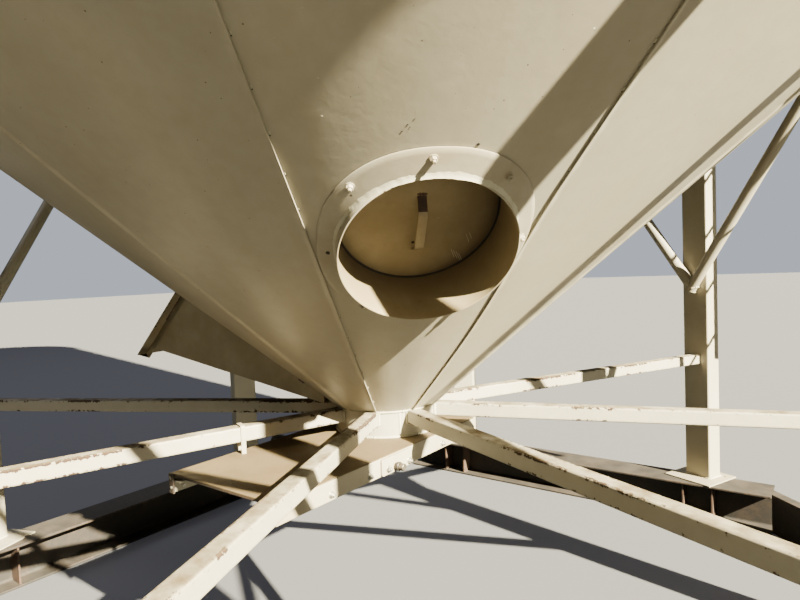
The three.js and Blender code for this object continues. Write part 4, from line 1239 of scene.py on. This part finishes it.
deckEdge = rayLoop(-gate["half"], gate["half"], gate["front"], gate["back"], (0, 0), turn)
deck = holedPlate(deckEdge, deckHole, deckLow, gate["deckZ"])
outerPart = np.abs(deck["points"][:, 0]) > gate["half"] - 1e-4
frontPart = deck["points"][:, 1] < gate["front"] + 1e-4
deck["wear"] = np.where(frontPart, 1.0, np.where(outerPart, 0.8, 0.0))
lipLoop = rectangle(-gate["half"], gate["half"], gate["front"], gate["front"] + gate["lipThick"])
frontLip = slab(lipLoop, gate["deckZ"] - gate["lipLow"], deckLow - gate["lipGap"], finish=1, wear=1.0)
makePiece("gate_deck_plate", [deck, frontLip], [deckCream, lipBrown], ["gate_deck"], bevel=0.0012)


# Rail = a web with a ledge inside, carried along y, with a flat pad outside, and the far rail is its mirror
def gateRail(side):
    h, b, t = gate["half"], gate["deckZ"] - gate["rail"], deckLow - silo["gap"]
    web, tip, ledge = h - gate["web"], h - gate["ledge"], plateLow - 0.0005
    under = ledge - gate["ledgeThick"]
    corners = [(h, b), (h, t), (web, t), (web, ledge), (tip, ledge), (tip, under), (web, under), (web, b)]
    loop, wear = filleted(corners, gate["railRadii"], 2)
    y = np.linspace(gate["front"], gate["back"], 44)
    rail = carried(loop, np.stack([0 * y, y, 0 * y], -1), [1, 0, 0], [0, 0, 1], wear)
    padLoop = rectangle(gate["padFront"], gate["padBack"], b + 0.002, t - 0.002, 0.006)
    pad = moved(slab(padLoop, h - 0.001, h + gate["pad"], wear=0.5), lambda p: p[:, [2, 0, 1]])
    return [moved(s, lambda p: p * [side, 1, 1]) for s in (rail, pad)]


makePiece("gate_rail_near_side", gateRail(1), [portCream], ["gate_rail_near"], bevel=0.0008)
makePiece("gate_rail_far_side", gateRail(-1), [portCream], ["gate_rail_far"], bevel=0.0008)

# Bolts along the rails and the pads
gateBolts = []
for side in (-1, 1):
    for y, z in gate["railBolts"]:
        gateBolts += nutAndStud((side * gate["half"], y, z), (side, 0, 0), 0.015, 0.008, 0.005, y * 9)
    for y, z in gate["padBolts"]:
        gateBolts += nutAndStud((side * (gate["half"] + gate["pad"]), y, z), (side, 0, 0), 0.016, 0.009, 0.004, y * 5)
makePiece("gate_bolts", gateBolts, [boltZinc], crease=30)

# Upright plate at the tray's far front corner, with two bolts in front and one inside
upright = {"x": (-0.250, -0.226), "y": (-0.806, -0.8003), "z": (0.782, 0.8449),
           "bolts": [(-0.238, 0.831), (-0.237, 0.800)], "inner": (-0.2385, -0.762, 0.794)}
cornerPlate = [slab(rectangle(*upright["x"], *upright["y"], 0.001), *upright["z"], wear=0.5)]
for x, z in upright["bolts"]:
    cornerPlate.append(roundBlock((x, upright["y"][0], z), (0, -1, 0), 0.005, 0.002, 14, finish=1))
cornerPlate.append(roundBlock(upright["inner"], (1, 0, 0), 0.0055, 0.004, 14, finish=1))
makePiece("gate_corner_plate", cornerPlate, [lipBrown, boltZinc], crease=30)


# The same profile carried across both racks' width
def atRacks(loop, y, z):
    ends = [[(x + side * gate["rackHalf"], y, z) for side in (-1, 1)] for x in (-gate["rackX"], gate["rackX"])]
    return [carried(loop, path, [0, 1, 0], [0, 0, 1], finish=1) for path in ends]


# Gate plate and racks: a rack's lower edge is a toothed line
plateLoop = rectangle(-gate["plateHalf"], gate["plateHalf"], gate["plateFront"], gate["plateBack"], 0.004)
teeth = np.arange(gate["plateFront"] + 0.004, gate["rackBack"] - 0.004, gate["toothPitch"])
toothLow = plateLow - gate["rackThick"]
toothY = (teeth[:, None] + gate["tooth"]).ravel()
toothZ = np.tile([toothLow, toothLow, toothLow + gate["toothHigh"], toothLow + gate["toothHigh"]], len(teeth))
rackTop = plateLow + 0.0005
rackLoop = np.concatenate([np.c_[toothY, toothZ], [(gate["rackBack"], toothZ[-1]), (gate["rackBack"], rackTop),
                                                   (gate["plateFront"], rackTop), (gate["plateFront"], toothZ[0])]])
plateShapes = [slab(plateLoop, plateLow, plateTop, wear=0.5)] + atRacks(rackLoop, 0, 0)
makePiece("gate_slide_plate", plateShapes, [plateZinc, shaftSteel], ["gate_plate"], body="gate",
          bevel=0.0006)

# Shaft with its drive wheel on the far side, a collar on the near side and two pinions
shaftFace = gate["half"] + gate["pad"] + gate["run"]
hub, hubEnd = gate["wheel"], -shaftFace - gate["wheelLength"]
neckR = hub - gate["wheelHub"]
hubRows = [(0, hubEnd), (neckR, hubEnd), (neckR, hubEnd + 0.004), (hub - 0.002, hubEnd + 0.004), (hub, hubEnd + 0.006),
           (hub, -shaftFace - 0.002), (hub - 0.002, -shaftFace), (0, -shaftFace)]
shaftRows = barProfile(gate["shaft"], -shaftFace - gate["shaftOut"][0], shaftFace + gate["shaftOut"][1], 0.001)
collarRows = barProfile(gate["collar"], shaftFace, shaftFace + gate["collarLength"], 0.002)
shaftCentre = (0, gate["shaftY"], gate["shaftZ"])
shaftShapes = [spun(rows, shaftCentre, (1, 0, 0), steps, finish=finish)
               for rows, steps, finish in ((shaftRows, 32, 0), (hubRows, 40, 1), (collarRows, 40, 1))]
gearAngle = np.linspace(0, 2 * math.pi, 4 * gate["teeth"], endpoint=False)
gearLow = gate["pinion"] - gate["pinionLow"]
gearRadius = np.tile([gate["pinion"], gate["pinion"], gearLow, gearLow], gate["teeth"])
shaftShapes += atRacks(radial(gearAngle, gearRadius, 0.0)[:, :2], gate["shaftY"], gate["shaftZ"])
makePiece("gate_drive_shaft", shaftShapes, [shaftSteel, darkIron], ["gate_shaft"], body="shaft",
          crease=28)

# Tray hanger: a flat strap bent over the sixth brace
hanger = {"along": 0.584, "width": 0.016, "thick": 0.004, "bend": 0.006, "edge": 0.0012, "number": 6}
hangTop = brace["hubZ"] + braceSlope * hanger["along"] + halfBrace + 0.001 + hanger["thick"] / 2
hangSide, hangLow = halfBrace + silo["gap"] + hanger["thick"] / 2, gate["deckZ"] + silo["gap"]
bend, r = np.linspace(0, math.pi / 2, 5), hanger["bend"]
leftBend = np.stack([-hangSide + r - r * np.cos(bend), hangTop - r + r * np.sin(bend)], -1)
hangLine = np.concatenate([[[-hangSide, hangLow]], leftBend, (leftBend * [-1, 1])[::-1], [[hangSide, hangLow]]])
hangPath = np.c_[np.full(len(hangLine), hanger["along"]), hangLine]
hangOut = unit(np.cross([1.0, 0, 0], unit(np.gradient(hangPath, axis=0))))
halfWidth, halfThick = hanger["width"] / 2, hanger["thick"] / 2
hangLoop = rectangle(-halfWidth, halfWidth, -halfThick, halfThick, hanger["edge"], 2)
hang = carried(hangLoop, hangPath, [1, 0, 0], hangOut, wear=0.6)
makePiece("tray_strap", turned([hang], legTurn(hanger["number"])), [portCream], ["tray_hanger"], crease=32)
print("gate fitted")

# Ring under the wall: an angle section turned round the silo
ringShape = {"web": 0.008, "flange": 0.090, "thick": 0.008, "radii": [0.002, 0.004, 0.002, 0.002, 0.004, 0.002],
             "worn": [1, 1, 1, 1, 0, 1], "steps": 288, "beads": (0, 90, 180, 270), "bead": (0.010, 0.003)}
ro, ringWeb, shelf = silo["ringOuter"], silo["ringOuter"] - ringShape["web"], ringBottom + ringShape["thick"]
ringIn = ro - ringShape["flange"]
ringCorners = [(ringIn, ringBottom), (ro, ringBottom), (ro, ringTop), (ringWeb, ringTop), (ringWeb, shelf),
               (ringIn, shelf)]
ringLoop, ringWear = filleted(ringCorners, ringShape["radii"], 3, ringShape["worn"])
ringShapes = [spun(ringLoop, steps=ringShape["steps"], wear=ringWear, loop=True)]
for a in np.radians(ringShape["beads"]):
    line = radial(a, ro, np.array([ringBottom + 0.003, ringTop - 0.004]))
    ringShapes.append(bead(line, radial(a, 1.0, 0.0), *ringShape["bead"], seed=3, finish=1))
makePiece("ring_angle", ringShapes, [wallCream, caulk], ["support_ring"])

# Bin wall: four courses, each lapped outside the one below, with weld seams that step round
wall = {
    "course": 1.21925, "proud": 0.0035, "buckle": 0.0011, "fade": 0.2, "seams": [14.0, 38.0, 2.0, 26.0],
    "rows": 40, "columns": 61, "atLap": [-0.0205, -0.0200, 0.008, 0.020, 0.034], "lapFrom": 0.0203,
    "lapTo": (0.008, 0.034), "seamFrom": 0.036, "seamTo": 0.022, "seamBead": (0.011, 0.0032),
}


# Radius = the bin's + a step that falls off above each joint + slow waves that fade at both ends
def wallQuarter(number):
    joints = wallBottom + wall["course"] * np.arange(1, 4)
    levels = np.linspace(wallBottom, wallTop, wall["rows"])
    heights = np.sort(np.concatenate([levels, (joints[:, None] + wall["atLap"]).ravel()]))[:, None]
    spread = math.degrees(silo["gap"] / 2 / silo["binRadius"])
    start = 90 * number - 45
    azimuth = np.radians(np.linspace(start + spread, start + 90 - spread, wall["columns"]))[None, :]
    near, far = wall["lapTo"]
    proud = sum((heights > j - wall["lapFrom"]) * (1 - eased(heights, j + near, j + far)) for j in joints)
    fade = wall["fade"]
    ends = eased(heights, wallBottom, wallBottom + fade) * (1 - eased(heights, wallTop - fade, wallTop))
    radius = silo["binRadius"] + wall["proud"] * proud + wall["buckle"] * buckled(azimuth, heights) * ends
    flow = np.stack(np.broadcast_arrays(azimuth * silo["binRadius"], heights, 0 * radius), -1)
    shapes = [thickened(radial(azimuth, radius, heights), radial(azimuth, radius - silo["sheet"], heights), flow=flow)]
    for course, turn in enumerate(wall["seams"]):
        low = wallBottom + wall["course"] * course + wall["seamFrom"]
        high = wallBottom + wall["course"] * (course + 1) - wall["seamTo"]
        for a in np.radians([start + turn, start + 45 + turn]):
            line = radial(a, silo["binRadius"] + 0.0006, np.array([low, high]))
            shapes.append(bead(line, radial(a, 1.0, 0.0), *wall["seamBead"], seed=course + 5, ripple=0.03, step=0.015,
                               finish=1))
    return shapes


for n, side in enumerate(("right", "back", "left", "front")):
    makePiece("wall_sheet_" + side, wallQuarter(n), [wallCream, wallCream], ["wall_" + side], crease=40)
print("wall raised")

# Roof: three gores a quarter with a rolled rib at each joint and an eave turned down
roof = {
    "inner": 0.3053, "eave": 2.156, "rib": 0.016, "ribHalf": 0.017, "ribTop": 0.006, "gore": 30.0, "rows": 30,
    "ribFrom": (0.02, 0.10), "ribTo": (2.10, 2.14), "atRib": [0.0, 0.004, 0.009, 0.014, 0.018, 0.026],
    "middle": 10, "sag": 0.004, "sagFrom": (0.6, 1.2), "sagTo": (1.9, 2.1), "sagWide": 0.5, "droop": 0.012,
    "droopWide": 0.008, "spreadAt": 1.2, "worn": (0.004, 0.012), "flowTurn": 1.3,
}


# Height = the slope's + the sheet + a rib at each joint - a sag between ribs - a droop at the eave
def roofQuarter(number):
    start = 90 * number - 45
    spread = silo["gap"] / 2 / roof["spreadAt"]
    ribs = np.radians(start + roof["gore"] * np.arange(4))
    eave, droopWide = roof["eave"], roof["droopWide"]
    levels = np.linspace(roof["inner"], eave - droopWide, roof["rows"])
    radius = np.r_[levels, eave - 0.004, eave - 0.001, eave][:, None]
    # columns beside a rib stand at fixed distances from it, and the rest share the gore
    near = np.array(roof["atRib"])
    columns = []
    for g in range(3):
        a, b = ribs[g] + spread * (g == 0), ribs[g + 1] - spread * (g == 2)
        width = (b - a) * radius
        middle = near[-1] + (width - 2 * near[-1]) * np.linspace(0, 1, roof["middle"])[None, 1:-1]
        arcs = np.concatenate([near + 0 * radius, middle, width - near[::-1]], axis=1)
        columns.append(a + (arcs if g == 2 else arcs[:, :-1]) / radius)
    azimuth = np.concatenate(columns, axis=1)
    fromRib = np.min(np.abs(azimuth[..., None] - ribs), axis=-1) * radius
    ribFrom, ribTo = (roof["inner"] + d for d in roof["ribFrom"])
    rib = roof["rib"] * (1 - eased(fromRib, roof["ribTop"], roof["ribHalf"]))
    rib = rib * eased(radius, ribFrom, ribTo) * (1 - eased(radius, *roof["ribTo"]))
    sag = -roof["sag"] * np.sin(np.pi * np.clip((fromRib - 0.02) / roof["sagWide"], 0, 1))
    sag = sag * eased(radius, *roof["sagFrom"]) * (1 - eased(radius, *roof["sagTo"]))
    lift = silo["sheet"] / math.cos(math.radians(silo["roofSlope"]))
    droop = -roof["droop"] * np.clip((radius - (eave - droopWide)) / droopWide, 0, 1) ** 2
    height = roofHeight(radius) + lift + rib + sag + droop
    flow = np.stack(np.broadcast_arrays(azimuth * roof["flowTurn"], radius, 0 * azimuth), -1)
    outer, inner = radial(azimuth, radius, height), radial(azimuth, radius, height - lift * 0.98)
    return [thickened(outer, inner, flow=flow, wear=0.5 * (1 - eased(fromRib, *roof["worn"])))]


for n, side in enumerate(("right", "back", "left", "front")):
    makePiece("roof_gores_" + side, roofQuarter(n), [wallCream], ["roof_" + side], crease=44)

# Roof neck with its bead, and a lid with a turned down skirt, a bow handle and three bolts
neck = {"radius": 0.305, "wall": 0.004, "height": 0.130, "below": 0.020, "bead": (0.010, 0.004)}
neckLow, neckTop = roofHeight(neck["radius"]) - neck["below"], roofHeight(neck["radius"]) + neck["height"]
nr, neckIn = neck["radius"], neck["radius"] - neck["wall"]
neckRows = [(neckIn, neckLow), (nr, neckLow), (nr, neckTop - 0.002), (nr - 0.001, neckTop), (neckIn + 0.001, neckTop),
            (neckIn, neckTop - 0.002)]
neckBead = bead(radial(fullTurn, nr + 0.002, roofHeight(nr) + 0.004), unit(outward + [0, 0, 0.8]), *neck["bead"],
                seed=8, finish=1)
makePiece("neck_ring", [spun(neckRows, steps=96, loop=True), neckBead], [wallCream, caulk], ["roof_neck"])
lid = {
    "over": 0.009, "clear": 0.005, "gap": 0.0003, "skirt": 0.045, "boltLow": 0.026, "bolts": (90, 210, 330),
    "dome": [(0.235, 0.0185), (0.225, 0.0245), (0.215, 0.0220), (0.10, 0.0390), (0.05, 0.0440), (0, 0.0455)],
    "handleHalf": 0.070, "handleLow": 0.038, "handleRise": 0.017, "handleRadius": 0.005,
}
lidOut, lidIn, skirt = nr + lid["over"], nr + lid["clear"], neckTop - lid["skirt"]
lidRows = [(0, neckTop + lid["gap"]), (lidIn, neckTop + lid["gap"]), (lidIn, skirt), (lidOut - 0.001, skirt),
           (lidOut, skirt + 0.002), (lidOut, neckTop - 0.002), (lidOut - 0.003, neckTop + 0.006),
           (lidOut - 0.012, neckTop + 0.0105)] + [(r, neckTop + z) for r, z in lid["dome"]]
bow = np.linspace(0, math.pi, 17)
bowZ = neckTop + lid["handleLow"] + lid["handleRise"] * np.sin(bow) ** 0.5
bowPath = np.stack([-lid["handleHalf"] * np.cos(bow), 0 * bow, bowZ], -1)
bowUp = unit(np.cross(unit(np.gradient(bowPath, axis=0)), [0, 1.0, 0]))
bowLoop = radial(np.linspace(0, 2 * math.pi, 12, endpoint=False), lid["handleRadius"], 0.0)[:, :2]
lidShapes = [spun(lidRows, steps=96), carried(bowLoop, bowPath, [0, 1, 0], bowUp, finish=1)]
for a in np.radians(lid["bolts"]):
    foot = radial(a, lidOut - 0.0002, neckTop - lid["boltLow"])
    lidShapes += nutAndStud(foot, radial(a, 1.0, 0.0), 0.013, 0.007, finish=1)
makePiece("lid_cap", lidShapes, [wallCream, ladderZinc], ["roof_lid"], crease=30)
print("roof closed")

# Air transition: a folded trough under the cone, with an angle frame round its open mouth
duct = {
    "azimuth": 188.0, "half": 0.213, "wall": 0.004, "lip": 0.044, "lipFold": 0.030, "rootX": 0.150, "rootZ": 0.965,
    "tipX": 1.115, "tipZ": 1.155, "mouth": -46.0, "length": 0.470, "under": 0.0008, "boltSide": 0.024,
    "boltsUp": (0.04, 0.40, 0.085), "boltsAcross": (-0.17, 0.17, 5), "boltLow": -0.022, "bolt": (0.0065, 0.0012),
    "weld": (0.012, 0.006),
}
mouthAngle = math.radians(duct["mouth"])
ductSlope = (duct["tipZ"] - duct["rootZ"]) / (duct["tipX"] - duct["rootX"])


# Up the mouth from its lower edge, and in front of it
def atMouth(up, front, y):
    up, front, y = np.broadcast_arrays(up, front, y)
    return np.stack([duct["tipX"] - up * math.cos(mouthAngle) - front * math.sin(mouthAngle), y,
                     duct["tipZ"] - up * math.sin(mouthAngle) + front * math.cos(mouthAngle)], -1)


# The floor climbs in a straight line to the mouth, and the sides stand on it up to the cone or the mouth's plane
def ductTrough(inset):
    half, root, tip = duct["half"] - inset, duct["rootX"], duct["tipX"]
    floorZ = lambda x: duct["rootZ"] + (x - root) * ductSlope + inset
    mouthZ = lambda x: duct["tipZ"] + (tip - x) * math.tan(-mouthAngle)
    share = np.linspace(0, 1, 60)[:, None] ** 0.9
    across = np.linspace(-half, half, 24)[None, :]
    meet = root + 0 * across
    for _ in range(60):  # the floor starts where it comes out of the cone
        meet = np.clip((coneHeight(np.hypot(meet, across)) - floorZ(meet)) * -0.6 + meet, root, 0.4)
    xFloor = meet + share * (tip - meet)
    floorPart = np.stack([xFloor, across + 0 * xFloor, floorZ(xFloor)], -1)
    xSide = root + share * (tip - root)
    low = floorZ(xSide)
    high = np.maximum(np.minimum(coneHeight(np.hypot(xSide, half)) - 0.0006, mouthZ(xSide)), low)
    zSide = low + (high - low) * np.linspace(1, 0, 12)[None, :-1]
    left, right = (np.stack([xSide + 0 * zSide, side * half + 0 * zSide, zSide], -1) for side in (-1, 1))
    return np.concatenate([left, floorPart, right[:, ::-1]], axis=1)


trough = ductTrough(0.0)
ductShapes = [thickened(trough, ductTrough(duct["wall"]))]
lip, thin, fold = duct["lip"], duct["wall"], duct["lipFold"]
heights = np.linspace(-lip, duct["length"] - 0.02, 30)
for side in (-1, 1):
    strip = []
    for offset, front in ((0, 0), (lip, 0), (lip, -thin), (-thin, -thin), (-thin, -fold), (0, -fold)):
        line = atMouth(heights, front, side * (duct["half"] + offset))
        line[:, 2] = np.minimum(line[:, 2], coneHeight(np.hypot(line[:, 0], line[:, 1])) - duct["under"])
        strip.append(line)
    ductShapes.append(lofted(np.stack(strip, 1), [0.3, 1, 1, 0, 0, 0], finish=1))
y = np.linspace(-duct["half"] - lip, duct["half"] + lip, 12)
sill = np.stack([atMouth(up, front, y) for up, front in ((-lip, 0), (0.002, 0), (0.002, -thin), (-lip, -thin))], 1)
ductShapes.append(lofted(sill, [1, 0, 0, 1], finish=1))
bolts = [(up, side * (duct["half"] + duct["boltSide"])) for up in np.arange(*duct["boltsUp"]) for side in (-1, 1)]
bolts += [(duct["boltLow"], y) for y in np.linspace(*duct["boltsAcross"])]
mouthOut = atMouth(0.0, 1.0, 0.0) - atMouth(0.0, 0.0, 0.0)
ductBolts = [roundBlock(atMouth(up, 0.0, y), mouthOut, *duct["bolt"], 14, finish=2) for up, y in bolts]
for side, line in ((-1, trough[4:52, 0]), (1, trough[4:52, -1])):
    normal = unit([0, side * 1.0, -0.8])
    ductShapes.append(bead(line + [0, side * 0.002, -0.001], normal, *duct["weld"], seed=12, ripple=0.02, step=0.007,
                           finish=3))
makePiece("air_duct", turned(ductShapes + ductBolts, duct["azimuth"]), [ductCream, ductCream, darkIron, plateRust],
          ["air_transition"], crease=34)
print("air transition folded")

# Ladder: two flat rails with round rungs, held off the wall by brackets
ladder = {
    "azimuth": 45.0, "offset": 0.175, "half": 0.205, "from": 1.250, "over": 0.040, "rail": 0.012, "depth": 0.045,
    "taper": 0.96, "rung": 0.009, "rungCut": 0.003, "rungOut": 0.010, "firstRung": 0.150, "lastRung": 0.060,
    "spacing": 0.305, "bracketHalf": 0.004, "bracketHeight": 0.025, "bracketAside": 0.009,
    "brackets": (0.3, 1.8, 3.3, silo["wallHeight"] - 0.2), "bolt": (0.013, 0.007, 0.003), "boltAside": 0.013,
}
ladderIn, ladderTop = silo["binRadius"] + ladder["offset"], wallTop + ladder["over"]
ladderShapes = []
railLoop = rectangle(ladderIn, ladderIn + ladder["depth"], -ladder["rail"] / 2, ladder["rail"] / 2, 0.003, 3)
middle = railLoop.mean(0)
z = np.array([ladder["from"], ladder["from"] + 0.002, ladderTop - 0.002, ladderTop])
inset = np.array([ladder["taper"], 1.0, 1.0, ladder["taper"]])[:, None, None]
for side in (-1, 1):
    path = np.stack([0 * z, side * ladder["half"] + 0 * z, z], -1)
    ladderShapes.append(carried(middle + (railLoop - middle) * inset, path, [1, 0, 0], [0, 1, 0]))
rungRows = barProfile(ladder["rung"], 0, 2 * (ladder["half"] + ladder["rungOut"]), ladder["rungCut"])
for z in np.arange(ladder["from"] + ladder["firstRung"], ladderTop - ladder["lastRung"], ladder["spacing"]):
    centre = (ladderIn + ladder["depth"] / 2, -ladder["half"] - ladder["rungOut"], z)
    ladderShapes.append(spun(rungRows, centre, (0, 1, 0), 14))


# Flat bracket from the wall to each rail, with one bolt
def ladderBracket(reach, z):
    made = []
    tall, thin = ladder["bracketHeight"], ladder["bracketHalf"]
    for side in (-1, 1):
        y = side * ladder["half"]
        start = math.sqrt(reach ** 2 - y ** 2) + 0.0006
        plate = slab(rectangle(start, ladderIn + 0.010, z - tall, z + tall, 0.004), -thin, thin)
        aside = y - side * ladder["bracketAside"]
        made.append(moved(plate, lambda p: np.stack([p[:, 0], aside + p[:, 2], p[:, 1]], -1)))
        made += nutAndStud((ladderIn + 0.004, y - side * ladder["boltAside"], z), (0, -side, 0), *ladder["bolt"])
    return made


for height in ladder["brackets"]:
    ladderShapes += ladderBracket(silo["binRadius"], wallBottom + height)
ladderShapes += ladderBracket(silo["ringOuter"], ringBottom + silo["ringHeight"] / 2)
makePiece("ladder_steps", turned(ladderShapes, ladder["azimuth"]), [ladderZinc], ["ladder"],
          crease=34)
print("ladder hung")
